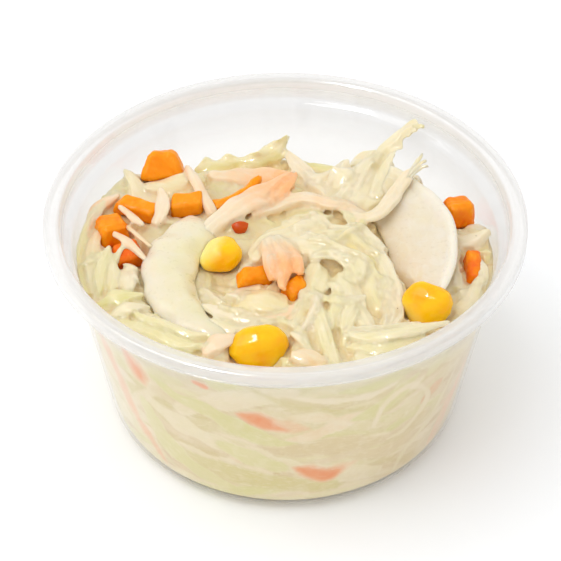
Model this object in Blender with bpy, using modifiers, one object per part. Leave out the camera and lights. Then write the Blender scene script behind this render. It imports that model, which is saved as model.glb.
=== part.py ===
"""Coleslaw in a clear portion cup: the cup, the packed slaw, and the large pieces that lie on it.

Metres, +Z up. The origin is the middle of the cup's foot, +X is to the right and +Y to the back.
The lists of places below are in millimetres and go through MM.
"""

import math

import bmesh
import bpy
from mathutils import Euler, Vector

MM = 0.001
GAP = 0.3 * MM  # clearance kept between neighbouring pieces

# The cup
RIM_R = 38.0 * MM
CUP_H = 38.0 * MM
WALL = 0.6 * MM
SKIRT_DROP = 2.2 * MM  # how far the rim's turned-down edge hangs
FLANGE_IN_R = 35.9 * MM
ROLL_R = 0.5 * MM  # rounding of the rim's edges
LEDGE_Z = 33.8 * MM  # the stacking ledge under the rim
LEDGE_RISE = 0.4 * MM
LEDGE_R = 35.1 * MM  # inside radius just above the ledge
INNER_FOOT_R = 28.35 * MM  # where the inside wall's line would meet the table
WALL_SLOPE = 0.161  # radius gained for each unit of height
CORNER_R = 3.4 * MM  # inside rounding between wall and floor
CORNER_Z = 4.0 * MM  # height of that rounding's centre
PANEL_R = 22.0 * MM  # the raised middle of the base
PANEL_RISE = 0.6 * MM
ROUND_STEPS = 60

# The packed slaw
HEAP_FLOOR = PANEL_RISE + WALL + GAP
HEAP_LEVEL = 29.6 * MM
HEAP_RINGS = 12
HEAP_SIDE_STEPS = 5
BACK_DROP = 5.0 * MM  # how far the slaw falls away towards the back wall
BACK_START = 23.5 * MM  # distance from the middle where that fall begins
BACK_RUN = 8.0 * MM
BACK_TURN = math.radians(75.0)  # direction of its middle, from +X

# The two big slices of cabbage that make the swirl
RIB_CENTRE = Vector((-5.4, -7.1)) * MM
RIB_OUT_R = 17.2 * MM
RIB_WIDTH = 8.8 * MM
RIB_THICK = 2.6 * MM
RIB_Z = 31.0 * MM
RIB_TURN = (122.0, 252.0)  # degrees round its centre
SLICE_CENTRE = Vector((8.0, -2.0)) * MM
SLICE_OUT_R = 19.3 * MM
SLICE_STRETCH = 3.0 * MM  # how much further it reaches to the front and back
SLICE_IN_R = 8.5 * MM
SLICE_THICK = 1.8 * MM
SLICE_LOW_Z = 31.0 * MM
SLICE_DISH = 1.6 * MM  # how far its outer edge turns up
SLICE_TURN = (-33.0, 62.0)


def clear_scene():
    """Remove whatever the scene holds."""
    for obj in list(bpy.data.objects):
        bpy.data.objects.remove(obj)


def collection(name, hidden=False):
    """A new collection in the scene."""
    made = bpy.data.collections.new(name)
    made.hide_render = hidden
    bpy.context.scene.collection.children.link(made)
    return made


def material(name, colour, roughness):
    """A Principled material of one colour."""
    made = bpy.data.materials.new(name)
    made.use_nodes = True
    shader = made.node_tree.nodes["Principled BSDF"]
    shader.inputs["Base Color"].default_value = (*colour, 1.0)
    shader.inputs["Roughness"].default_value = roughness
    shader.inputs["Metallic"].default_value = 0.0
    return made


def mesh_object(name, bm, into, finish=None):
    """An object from a bmesh, with its faces turned outwards."""
    bmesh.ops.recalc_face_normals(bm, faces=bm.faces)
    mesh = bpy.data.meshes.new(name)
    bm.to_mesh(mesh)
    bm.free()
    if finish:
        mesh.materials.append(finish)
    mesh.shade_smooth()
    obj = bpy.data.objects.new(name, mesh)
    into.objects.link(obj)
    return obj


def arc(centre_r, centre_z, radius, start, end, steps):
    """Points of an arc in the (radius, height) plane, angles in degrees from the +radius axis."""
    angles = [math.radians(start + (end - start) * i / steps) for i in range(steps + 1)]
    return [(centre_r + radius * math.cos(a), centre_z + radius * math.sin(a)) for a in angles]


def corner_centre_r():
    """Radius of the centre of the rounding between wall and floor."""
    return INNER_FOOT_R + WALL_SLOPE * CORNER_Z - CORNER_R * math.hypot(1.0, WALL_SLOPE)


def inner_radius(z):
    """Inside radius of the cup below its ledge, at a height."""
    tangent_z = CORNER_Z - CORNER_R * math.sin(math.atan(WALL_SLOPE))
    if z >= tangent_z:
        return INNER_FOOT_R + WALL_SLOPE * z
    drop = min(CORNER_Z - z, CORNER_R)
    return corner_centre_r() + math.sqrt(CORNER_R**2 - drop**2)


def cup_profile():
    """The cup's section, from the middle of the floor up the inside, over the rim and down the outside."""
    lean = math.degrees(math.atan(WALL_SLOPE))
    corner_r = corner_centre_r()
    floor_z = CORNER_Z - CORNER_R
    ledge_in = INNER_FOOT_R + WALL_SLOPE * LEDGE_Z
    ledge_top = LEDGE_Z + LEDGE_RISE
    under = CUP_H - WALL
    inside = [(0.0, floor_z + PANEL_RISE), (PANEL_R - WALL, floor_z + PANEL_RISE), (PANEL_R, floor_z)]
    inside += arc(corner_r, CORNER_Z, CORNER_R, -90.0, -lean, 4)
    inside += [(ledge_in, LEDGE_Z), (LEDGE_R, ledge_top), (FLANGE_IN_R - ROLL_R, CUP_H - ROLL_R)]
    rim = arc(FLANGE_IN_R, CUP_H - ROLL_R, ROLL_R, 135.0, 90.0, 1)
    rim += arc(RIM_R - ROLL_R, CUP_H - ROLL_R, ROLL_R, 90.0, 0.0, 2)
    rim += [(RIM_R, CUP_H - SKIRT_DROP), (RIM_R - WALL, CUP_H - SKIRT_DROP), (RIM_R - WALL, under)]
    outside = [(FLANGE_IN_R + WALL / 2, under), (LEDGE_R + WALL, ledge_top - WALL / 2)]
    outside += [(ledge_in + WALL, LEDGE_Z - WALL)]
    outside += arc(corner_r, CORNER_Z, CORNER_R + WALL, -lean, -90.0, 4)
    outside += [(PANEL_R, 0.0), (PANEL_R - WALL, PANEL_RISE), (0.0, PANEL_RISE)]
    return inside + rim + outside


def make_cup(into, finish):
    """The turned cup: thin wall, stacking ledge, and a flat rim with a turned-down edge."""
    bm = bmesh.new()
    points = [bm.verts.new((r, 0.0, z)) for r, z in cup_profile()]
    for a, b in zip(points, points[1:]):
        bm.edges.new((a, b))
    cup = mesh_object("cup", bm, into, finish)
    turn = cup.modifiers.new("turn", "SCREW")
    turn.steps = ROUND_STEPS
    turn.render_steps = ROUND_STEPS
    turn.use_merge_vertices = True
    turn.merge_threshold = 0.00001
    turn.use_smooth_shade = True
    return cup


def smooth(value):
    """A soft step from 0 to 1."""
    t = min(max(value, 0.0), 1.0)
    return t * t * (3.0 - 2.0 * t)


def bump(x, y, at, spread):
    """A round bump of height 1, all in metres."""
    return math.exp(-((x - at[0] * MM) ** 2 + (y - at[1] * MM) ** 2) / (2.0 * (spread * MM) ** 2))


def back_fall(x, y):
    """How far the slaw lies lower where it slopes down to the back wall."""
    facing = math.cos(math.atan2(y, x) - BACK_TURN)
    return BACK_DROP * smooth((math.hypot(x, y) - BACK_START) / BACK_RUN) * smooth((facing - 0.35) / 0.4)


def heap_height(x, y):
    """Height of the slaw's uneven top: higher in front, a mound in the middle, folds that wind round it."""
    height = HEAP_LEVEL
    height += 1.4 * MM * smooth((-y / MM - 6.0) / 20.0)
    height -= 2.4 * MM * smooth((y / MM - 8.0) / 22.0)
    height += 1.5 * MM * bump(x, y, (5.0, -8.0), 9.0)
    height -= 1.6 * MM * bump(x, y, (-9.0, -10.0), 2.6)
    height += 0.9 * MM * bump(x, y, (-19.0, 16.0), 4.5)
    around = math.atan2(y + 6.0 * MM, x - 3.0 * MM)
    away = math.hypot(y + 6.0 * MM, x - 3.0 * MM) / MM
    folds = 0.45 * math.sin(5.0 * around + 0.55 * away) + 0.3 * math.sin(9.0 * around - 0.4 * away)
    return height + folds * MM * smooth(away / 8.0) - back_fall(x, y)


def make_heap(into, finish):
    """The packed slaw: turned to fit the cup's inside, then its top raised to its uneven height."""
    profile = [(i / HEAP_RINGS * inner_radius(HEAP_LEVEL), HEAP_LEVEL) for i in range(HEAP_RINGS + 1)]
    low = HEAP_FLOOR + 2.4 * MM
    for i in range(1, HEAP_SIDE_STEPS + 1):
        z = HEAP_LEVEL + (low - HEAP_LEVEL) * i / HEAP_SIDE_STEPS
        profile.append((inner_radius(z), z))
    profile += [(inner_radius(HEAP_FLOOR), HEAP_FLOOR), (0.0, HEAP_FLOOR)]
    bm = bmesh.new()
    points = [bm.verts.new((r, 0.0, z)) for r, z in profile]
    edges = [bm.edges.new(pair) for pair in zip(points, points[1:])]
    bmesh.ops.spin(
        bm, geom=points + edges, angle=math.tau, steps=ROUND_STEPS, axis=(0, 0, 1), cent=(0, 0, 0)
    )
    bmesh.ops.remove_doubles(bm, verts=bm.verts, dist=0.00001)
    for vert in bm.verts:
        x, y, z = vert.co
        share = (z - HEAP_FLOOR) / (HEAP_LEVEL - HEAP_FLOOR)
        z = HEAP_FLOOR + share * (heap_height(x, y) - HEAP_FLOOR)
        radius = math.hypot(x, y)
        most = inner_radius(z) - GAP
        scale = min(1.0, most / radius) if radius > most else 1.0
        vert.co = (x * scale, y * scale, z)
    return mesh_object("coleslaw", bm, into, finish)


def loft(sections):
    """A closed bmesh through rings of points, with a cap on each end."""
    bm = bmesh.new()
    rings = [[bm.verts.new(point) for point in section] for section in sections]
    for ring, after in zip(rings, rings[1:]):
        for i in range(len(ring)):
            j = (i + 1) % len(ring)
            bm.faces.new((ring[i], ring[j], after[j], after[i]))
    bm.faces.new(rings[0])
    bm.faces.new(reversed(rings[-1]))
    bmesh.ops.triangulate(bm, faces=bm.faces)
    return bm


def oval_section(centre, across, width, thick, sides=8):
    """A flattened ring of points that stands across a strip."""
    ring = []
    for i in range(sides):
        angle = math.tau * (i + 0.5) / sides
        side = math.copysign(abs(math.cos(angle)) ** 0.8, math.cos(angle))
        ring.append(centre + across * (side * width / 2) + Vector((0, 0, math.sin(angle) * thick / 2)))
    return ring


def rib_sections(grow):
    """Sections of the crescent slice, widest in the middle of its turn."""
    sections = []
    steps = 14
    for i in range(steps + 1):
        t = i / steps
        turn = math.radians(RIB_TURN[0] + (RIB_TURN[1] - RIB_TURN[0]) * t)
        width = RIB_WIDTH * (0.25 + 0.75 * math.sin(math.pi * (0.16 + 0.84 * t) ** 0.9) ** 0.7)
        thick = RIB_THICK * (0.5 + 0.5 * math.sin(math.pi * t) ** 0.6)
        out = Vector((math.cos(turn), math.sin(turn), 0.0))
        middle = Vector((*RIB_CENTRE, RIB_Z)) + out * (RIB_OUT_R - width / 2)
        along = Vector((-out.y, out.x, 0.0)) * grow * (2.0 * t - 1.0)
        sections.append(oval_section(middle + along, out, width + 2 * grow, thick + 2 * grow))
    return sections


def slice_sections(grow):
    """Sections of the wide dished slice, from its inner edge to its outer one, round its turn."""
    sections = []
    steps = 14
    spread = math.degrees(grow / SLICE_IN_R)
    start = SLICE_TURN[0] - spread
    end = SLICE_TURN[1] + spread
    for i in range(steps + 1):
        t = i / steps
        turn = math.radians(start + (end - start) * t)
        reach = SLICE_OUT_R + SLICE_STRETCH * abs(math.sin(turn)) ** 1.5
        narrow = 0.35 * (1.0 - math.sin(math.pi * t) ** 0.5)
        inner = SLICE_IN_R + (reach - SLICE_IN_R) * narrow
        out = Vector((math.cos(turn), math.sin(turn), 0.0))
        top, under = [], []
        for j in range(5):
            s = j / 4
            away = inner - grow + (reach - inner + 2 * grow) * s
            base = Vector((*SLICE_CENTRE, SLICE_LOW_Z + SLICE_DISH * s**1.6)) + out * away
            half = (SLICE_THICK / 2) * (0.6 + 0.4 * math.sin(math.pi * min(s * 1.15 + 0.1, 1.0)))
            top.append(base + Vector((0, 0, half + grow)))
            under.append(base - Vector((0, 0, half + grow)))
        sections.append(top + under[::-1])
    return sections


def curl_sections(grow):
    """Sections of the bent carrot strip."""
    sections = []
    steps = 8
    for i in range(steps + 1):
        t = i / steps
        x = -11.6 + 7.4 * t
        y = 9.2 + 2.2 * t + 4.4 * t**3
        z = 31.2 + 0.9 * t
        slope = Vector((7.4, 2.2 + 13.2 * t * t, 0.0)).normalized()
        across = Vector((-slope.y, slope.x, 0.0))
        centre = Vector((x, y, z)) * MM + slope * grow * (2.0 * t - 1.0)
        width = (2.9 - 1.5 * t) * MM
        sections.append(oval_section(centre, across, width + 2 * grow, 1.8 * MM + 2 * grow, 6))
    return sections


def make_loft(name, sections_of, into, cutters, finish):
    """A lofted piece, and the slightly larger copy that keeps the slaw clear of it."""
    mesh_object(name + "_cutter", loft(sections_of(GAP)), cutters)
    return mesh_object(name, loft(sections_of(0.0)), into, finish)


def kernel_shape(size, grow):
    """A corn kernel standing on its narrow cut end: domed crown with a dimple, flattened front and back."""
    width, depth, height = (part * MM + 2 * grow for part in size)
    bm = bmesh.new()
    bmesh.ops.create_uvsphere(bm, u_segments=12, v_segments=8, radius=1.0)
    for vert in bm.verts:
        x, y, z = vert.co
        taper = 0.62 + 0.38 * smooth((z + 1.0) / 1.2)
        y = math.copysign(abs(y) ** 0.8, y)
        dimple = 0.10 * math.exp(-(x * x + y * y) / 0.12) * smooth(z * 2.0)
        z = max(z, -0.86) - dimple
        vert.co = (x * taper * width / 2, y * taper * depth / 2, z * height / 2)
    bmesh.ops.remove_doubles(bm, verts=bm.verts, dist=0.00001)
    return bm


def chunk_shape(size, taper, grow):
    """A cut piece of carrot: a block whose top is smaller than its foot, with its edges taken off."""
    bm = bmesh.new()
    bmesh.ops.create_cube(bm, size=1.0)
    for vert in bm.verts:
        shrink = taper if vert.co.z > 0 else 1.0
        skew = 0.12 * vert.co.y
        vert.co.x = (vert.co.x * shrink + skew) * (size[0] * MM + 2 * grow)
        vert.co.y *= (0.5 + 0.5 * shrink) * (size[1] * MM + 2 * grow)
        vert.co.z *= size[2] * MM + 2 * grow
    bmesh.ops.bevel(
        bm, geom=list(bm.edges), offset=min(size) * MM * 0.16, segments=1, affect="EDGES", profile=0.5
    )
    bmesh.ops.triangulate(bm, faces=bm.faces)
    return bm


def set_down(obj, place, turn):
    """Put an object at a place in millimetres, turned by degrees about X, Y and Z."""
    obj.location = Vector(place) * MM
    obj.rotation_euler = Euler([math.radians(angle) for angle in turn])


# name: (place in mm, size in mm, turn in degrees)
KERNELS = {
    "corn_left": ((-10.4, -3.8, 31.7), (7.2, 4.8, 7.6), (72.0, 12.0, 112.0)),
    "corn_right": ((21.5, -16.6, 32.2), (8.4, 5.2, 8.4), (-41.0, 0.0, -20.0)),
    "corn_front": ((-3.9, -25.4, 31.6), (9.6, 5.6, 8.2), (-38.0, 0.0, 14.0)),
}

# name: (place in mm, size in mm, top's share of the foot, turn in degrees)
CARROTS = {
    "carrot_wedge": ((-20.4, 19.4, 32.0), (8.2, 3.8, 4.8), 0.5, (-28.0, 4.0, 12.0)),
    "carrot_block": ((-16.0, 9.6, 31.4), (5.4, 3.6, 3.2), 0.9, (4.0, -6.0, 6.0)),
    "carrot_stick": ((-23.8, 8.6, 31.2), (7.6, 3.0, 2.8), 0.85, (6.0, 10.0, -14.0)),
    "carrot_chunk": ((-28.0, 3.4, 31.0), (5.4, 5.0, 4.0), 0.8, (-8.0, 10.0, 30.0)),
    "carrot_dark": ((-25.2, -2.2, 30.4), (5.0, 4.2, 3.4), 0.85, (8.0, -6.0, 24.0)),
    "carrot_dice": ((28.3, 9.2, 30.0), (5.4, 4.4, 4.6), 0.86, (-10.0, 8.0, 20.0)),
    "carrot_side": ((29.6, -4.8, 28.8), (2.8, 6.6, 5.2), 0.9, (4.0, 6.0, 4.0)),
    "carrot_shard": ((-4.6, -9.0, 32.0), (6.4, 3.2, 2.4), 0.7, (10.0, 8.0, 18.0)),
    "carrot_tip": ((1.6, -12.4, 32.3), (4.8, 3.6, 2.6), 0.65, (12.0, -10.0, 38.0)),
}


def cut_clear(heap, cutters):
    """Sink the pieces' slightly larger copies into the slaw."""
    for cutter in cutters.objects:
        cutter.hide_render = True
        cutter.display_type = "WIRE"
        cut = heap.modifiers.new(cutter.name, "BOOLEAN")
        cut.operation = "DIFFERENCE"
        cut.solver = "EXACT"
        cut.object = cutter


def main():
    """Build the cup of coleslaw."""
    clear_scene()
    parts = collection("coleslaw")
    cutters = collection("cutters", hidden=True)
    plastic = material("clear plastic", (0.86, 0.87, 0.87), 0.12)
    slaw = material("dressed cabbage", (0.80, 0.73, 0.47), 0.4)
    pale = material("pale cabbage", (0.84, 0.78, 0.58), 0.35)
    corn = material("sweetcorn", (0.94, 0.55, 0.01), 0.25)
    carrot = material("carrot", (0.92, 0.20, 0.005), 0.35)
    make_cup(parts, plastic)
    heap = make_heap(parts, slaw)
    make_loft("cabbage_rib", rib_sections, parts, cutters, pale)
    make_loft("cabbage_slice", slice_sections, parts, cutters, pale)
    make_loft("carrot_curl", curl_sections, parts, cutters, carrot)
    for name, (place, size, turn) in KERNELS.items():
        set_down(mesh_object(name, kernel_shape(size, 0.0), parts, corn), place, turn)
        set_down(mesh_object(name + "_cutter", kernel_shape(size, GAP), cutters), place, turn)
    for name, (place, size, taper, turn) in CARROTS.items():
        set_down(mesh_object(name, chunk_shape(size, taper, 0.0), parts, carrot), place, turn)
        set_down(mesh_object(name + "_cutter", chunk_shape(size, taper, GAP), cutters), place, turn)
    cut_clear(heap, cutters)


main()
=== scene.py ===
"""The looks of a portion cup of coleslaw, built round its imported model.

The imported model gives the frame, in metres, +Z up, with +X to the right and +Y to the back.
Shapes are worked out here in millimetres and turned into metres as each mesh is made.
"""

from __future__ import annotations

import logging
import math
from dataclasses import dataclass, field
from enum import Enum, IntEnum
from typing import Sequence, Union

import bpy
import numpy as np
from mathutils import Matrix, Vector
from mathutils.kdtree import KDTree


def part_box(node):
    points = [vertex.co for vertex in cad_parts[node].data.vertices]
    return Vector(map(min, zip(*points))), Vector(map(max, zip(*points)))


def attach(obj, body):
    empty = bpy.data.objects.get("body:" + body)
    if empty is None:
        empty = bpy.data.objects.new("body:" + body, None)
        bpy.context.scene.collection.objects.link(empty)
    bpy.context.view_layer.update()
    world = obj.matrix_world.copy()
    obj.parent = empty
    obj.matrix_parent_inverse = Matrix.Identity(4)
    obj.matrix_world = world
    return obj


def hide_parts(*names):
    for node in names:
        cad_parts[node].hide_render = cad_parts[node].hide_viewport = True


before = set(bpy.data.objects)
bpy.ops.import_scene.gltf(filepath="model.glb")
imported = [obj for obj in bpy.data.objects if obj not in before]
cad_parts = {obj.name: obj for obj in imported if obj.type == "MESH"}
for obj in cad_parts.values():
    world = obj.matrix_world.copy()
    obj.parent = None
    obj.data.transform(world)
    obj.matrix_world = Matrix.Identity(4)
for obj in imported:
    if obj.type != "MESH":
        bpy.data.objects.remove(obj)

MM = 0.001
BODY = "root"
SEED = 4107
UP = np.array([0.0, 0.0, 1.0])


class Draw(IntEnum):
    """Which series of random numbers each thing draws on, added to SEED."""

    CORE_TOP = 1
    SIDE_TONE = 2
    SIDE_SHADE = 3
    SKIN_CORE = 7
    SKIN_TONE = 8
    CRESCENT = 21
    DISHED = 23
    SIDE = 100
    CARROT = 200
    CORN = 301
    DOT = 380
    WISPS = 390
    STRIPS = 400
    GREEN_SHREDS = 500
    CREAM_SHREDS = 501
    THIN_SHREDS = 502
    SPECKS = 601


Colour = tuple[float, float, float]
Number = Union["Socket", float]
log = logging.getLogger("coleslaw")


class Slot(Enum):
    """The record's material slots."""

    CUP = "cup_plastic"
    SLAW = "dressed_cabbage"
    PALE = "pale_cabbage"
    CORN = "sweetcorn"
    CARROT = "carrot"


# ---------------------------------------------------------------- shader maths


class Socket:
    """A shader value that adds, multiplies and compares like a number."""

    def __init__(self, graph: "Graph", link: bpy.types.NodeSocket) -> None:
        """Wrap an output socket of a graph."""
        self.graph = graph
        self.link = link

    def __add__(self, other: Number) -> "Socket":
        """Sum."""
        return self.graph.maths("ADD", self, other)

    __radd__ = __add__

    def __mul__(self, other: Number) -> "Socket":
        """Product."""
        return self.graph.maths("MULTIPLY", self, other)

    __rmul__ = __mul__

    def __sub__(self, other: Number) -> "Socket":
        """Difference."""
        return self.graph.maths("SUBTRACT", self, other)

    def __rsub__(self, other: Number) -> "Socket":
        """Difference from a number."""
        return self.graph.maths("SUBTRACT", other, self)

    def __pow__(self, other: Number) -> "Socket":
        """Power."""
        return self.graph.maths("POWER", self, other)

    def __abs__(self) -> "Socket":
        """Size without sign."""
        return self.graph.maths("ABSOLUTE", self)

    def clamped(self) -> "Socket":
        """The same value, kept between 0 and 1."""
        return self.graph.maths("MULTIPLY", self, 1.0, clamp=True)


class Graph:
    """One material's nodes, written as expressions."""

    def __init__(self, name: str) -> None:
        """Start an empty material."""
        self.material = bpy.data.materials.new(name)
        self.material.use_nodes = True
        self.tree = self.material.node_tree
        self.tree.nodes.clear()

    def add(
        self, kind: str, settings: dict[str, object] | None = None, values: dict | None = None
    ) -> bpy.types.Node:
        """Add any node.

        Args:
            kind: The node's type.
            settings: Properties of the node, set first.
            values: Values or sockets for the node's inputs, by name or number.

        Returns:
            The new node.
        """
        node = self.tree.nodes.new(kind)
        for key, value in (settings or {}).items():
            setattr(node, key, value)
        for key, value in (values or {}).items():
            socket = node.inputs[key]
            if isinstance(value, Socket):
                self.tree.links.new(value.link, socket)
            elif socket.type == "RGBA" and len(value) == 3:
                socket.default_value = (*value, 1.0)
            else:
                socket.default_value = value
        return node

    def maths(self, operation: str, a: Number, b: Number = 0.0, clamp: bool = False) -> Socket:
        """A Math node on one or two values."""
        node = self.add("ShaderNodeMath", {"operation": operation, "use_clamp": clamp}, {0: a, 1: b})
        return Socket(self, node.outputs[0])

    def mix(self, share: Number, a: Socket | Colour, b: Socket | Colour) -> Socket:
        """A blend of two colours."""
        node = self.add("ShaderNodeMix", {"data_type": "RGBA"}, {0: share, 6: a, 7: b})
        return Socket(self, node.outputs[2])

    def mark(self, name: str) -> Socket:
        """A number stored on the mesh's points."""
        node = self.add("ShaderNodeAttribute", {"attribute_name": name})
        return Socket(self, node.outputs["Fac"])

    def place(self) -> Socket:
        """The point on the piece, in metres."""
        return Socket(self, self.add("ShaderNodeTexCoord").outputs["Object"])

    def vector(self, x: Number, y: Number, z: Number) -> Socket:
        """A vector from three values."""
        return Socket(self, self.add("ShaderNodeCombineXYZ", None, {0: x, 1: y, 2: z}).outputs[0])

    def stretched(self, vector: Socket, scale: Colour) -> Socket:
        """A vector times three numbers."""
        node = self.add("ShaderNodeVectorMath", {"operation": "MULTIPLY"}, {0: vector, 1: scale})
        return Socket(self, node.outputs[0])

    def noise(self, at: Socket, size_mm: float, detail: float = 2.0, warp: float = 0.0) -> Socket:
        """Soft noise from 0 to 1 whose lumps are about a size in millimetres; at is in metres."""
        values = {"Vector": at, "Scale": 1.0 / (size_mm * MM), "Detail": detail, "Distortion": warp}
        return Socket(self, self.add("ShaderNodeTexNoise", None, values).outputs[0])

    def step(self, value: Socket, low: float, high: float) -> Socket:
        """A soft step from 0 at low to 1 at high."""
        settings = {"interpolation_type": "SMOOTHSTEP"}
        node = self.add("ShaderNodeMapRange", settings, {0: value, 1: low, 2: high, 3: 0.0, 4: 1.0})
        return Socket(self, node.outputs[0])

    def bump(self, height: Socket, depth_mm: float, strength: float = 1.0) -> Socket:
        """A bumped normal; height runs from 0 to 1 over a depth."""
        values = {"Height": height, "Distance": depth_mm * MM, "Strength": strength}
        return Socket(self, self.add("ShaderNodeBump", None, values).outputs[0])

    def shader(self, kind: str, values: dict) -> Socket:
        """A shader node's closure."""
        return Socket(self, self.add(kind, None, values).outputs[0])

    def principled(self, values: dict) -> Socket:
        """A Principled closure."""
        return self.shader("ShaderNodeBsdfPrincipled", values)

    def wet(
        self, base: Socket, rough: Socket, normal: Socket, inside: tuple[float, Colour, float],
        coat: tuple[float, float], specular: float, ior: float = 1.5,
    ) -> bpy.types.Material:
        """Finish a wet, translucent food.

        Args:
            base: Its colour.
            rough: Its roughness.
            normal: Its bumped normal.
            inside: Share of light that goes inside, its reach by colour, and the reach in metres.
            coat: Weight and roughness of the wet coat.
            specular: How much the flesh itself shines.
            ior: How strongly it bends light.

        Returns:
            The material.
        """
        return self.finish(self.principled({
            "Base Color": base,
            "Roughness": rough,
            "Normal": normal,
            "Subsurface Weight": inside[0],
            "Subsurface Radius": inside[1],
            "Subsurface Scale": inside[2],
            "Specular IOR Level": specular,
            "Coat Weight": coat[0],
            "Coat Roughness": coat[1],
            "IOR": ior,
        }))

    def mix_shader(self, share: Number, a: Socket, b: Socket) -> Socket:
        """A blend of two closures."""
        return self.shader("ShaderNodeMixShader", {0: share, 1: a, 2: b})

    def finish(self, closure: Socket) -> bpy.types.Material:
        """Join a closure to the output and give the material."""
        self.add("ShaderNodeOutputMaterial", None, {"Surface": closure})
        return self.material


# -------------------------------------------------------------------- finishes


@dataclass(frozen=True)
class CabbageFinish:
    """Wet, translucent cabbage under a thin creamy dressing.

    Points carry tone (0 cream to 1 green), blush (0 to 1, carrot-stained), shade (0 to 1, painted
    shade: how much of the deep colour is painted in where the slaw lies in hollows, under other shreds
    and on the side away from the lamp), ridge (0 to 1, the dressing colour laid on raised parts and
    edges: partly dressing, partly painted light), and along and across in millimetres and half
    widths for the veins. The grain stretches the veins along, across and from strip to strip.
    """

    name: str
    cream: Colour = (0.79, 0.69, 0.49)
    green: Colour = (0.71, 0.655, 0.26)
    peach: Colour = (0.95, 0.40, 0.11)
    # deep is the colour of painted shade, which the shade mark blends in.
    deep: Colour = (0.88, 0.68, 0.34)
    dressing: Colour = (0.85, 0.765, 0.61)
    dressing_share: float = 0.5
    vein: float = 0.5
    translucence: float = 0.45
    translucence_mm: float = 0.9
    gloss: float = 0.36
    relief_mm: float = 0.2
    grain: Colour = (0.00022, 0.0018, 0.05)

    def make(self) -> bpy.types.Material:
        """Build the material."""
        g = Graph(self.name)
        at = g.place()
        across = g.mark("across")
        run, aside, apart = self.grain
        grain_at = g.vector(g.mark("along") * run, across * aside, g.mark("seed") * apart)
        fibres = g.noise(grain_at, 0.35, 3.0, 0.4)
        patches = g.noise(at, 3.4, 2.0, 0.6)
        fine = g.noise(at, 0.7, 3.0)
        tone = (g.mark("tone") + (patches - 0.5) * 0.55 + (fibres - 0.5) * self.vein * 0.6).clamped()
        base = g.mix(tone, self.cream, self.green)
        # Painted shade: the shade mark blends the colour towards deep.
        base = g.mix((g.mark("shade") + (fibres - 0.5) * 0.3).clamped(), base, self.deep)
        stain = g.step(g.mark("blush") + (patches - 0.5) * 0.35 + (fibres - 0.5) * 0.2, 0.12, 1.0)
        base = g.mix(stain, base, self.peach)
        film = g.step(g.noise(at, 2.1, 3.0, 0.8), 0.46, 0.74)
        cut_edge = g.step(abs(across), 0.72, 1.0)
        streak = g.step(fibres, 0.5, 0.72) * self.vein
        # The ridge mark lays the dressing colour on raised parts and edges: partly dressing, partly painted
        # light.
        cover = film * 0.5 + cut_edge * 0.35 + g.mark("ridge") * 0.7 + streak * 0.8
        cover = cover.clamped() * self.dressing_share
        base = g.mix(cover * (1.0 - stain * 0.55), base, self.dressing)
        rough = (self.gloss + (fine - 0.5) * 0.25 + film * 0.08).clamped()
        height = fibres * 0.7 + fine * 0.2 + film * 0.25
        inside = (self.translucence, (1.0, 0.8, 0.5), self.translucence_mm * MM)
        return g.wet(base, rough, g.bump(height, self.relief_mm, 0.6), inside, (0.4, 0.06), 0.42, 1.38)


@dataclass(frozen=True)
class CarrotFinish:
    """Wet cut carrot: orange with a deeper core, pale fibres and a trace of dressing."""

    name: str
    flesh: Colour = (0.97, 0.31, 0.003)
    core: Colour = (0.86, 0.13, 0.002)
    pale: Colour = (0.98, 0.44, 0.05)
    dressed: Colour = (0.97, 0.50, 0.12)

    def make(self) -> bpy.types.Material:
        """Build the material."""
        g = Graph(self.name)
        at = g.place()
        streak = g.noise(g.stretched(at, (1.0, 0.35, 1.0)), 0.9, 3.0, 0.5)
        patch = g.noise(at, 2.8, 2.0)
        base = g.mix(g.step(patch + g.mark("dark"), 0.42, 0.95), self.flesh, self.core)
        base = g.mix(g.step(streak, 0.52, 0.8) * 0.45, base, self.pale)
        film = g.step(g.noise(at, 1.5, 2.0, 0.7), 0.62, 0.82)
        base = g.mix(film * 0.12, base, self.dressed)
        rough = (0.34 + streak * 0.14).clamped()
        normal = g.bump(streak * 0.6 + film * 0.4, 0.08, 0.4)
        return g.wet(base, rough, normal, (0.5, (1.0, 0.5, 0.1), 0.0015), (0.08, 0.1), 0.15)


@dataclass(frozen=True)
class CornFinish:
    """Glossy sweetcorn skin, pale towards the cut end."""

    name: str
    skin: Colour = (0.985, 0.54, 0.003)
    deep: Colour = (0.97, 0.43, 0.002)
    pale: Colour = (0.96, 0.80, 0.27)

    def make(self) -> bpy.types.Material:
        """Build the material."""
        g = Graph(self.name)
        at = g.place()
        cloud = g.noise(at, 3.0, 2.0)
        fine = g.noise(at, 0.5, 2.0)
        base = g.mix(g.step(cloud, 0.35, 0.75), self.skin, self.deep)
        base = g.mix(g.step(g.mark("pale") + (cloud - 0.5) * 0.5, 0.25, 0.85), base, self.pale)
        rough = (0.22 + g.step(fine, 0.4, 0.8) * 0.12).clamped()
        normal = g.bump(cloud * 0.7 + fine * 0.3, 0.05, 0.3)
        return g.wet(base, rough, normal, (0.6, (1.0, 0.7, 0.06), 0.0022), (0.42, 0.04), 0.05)


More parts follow.
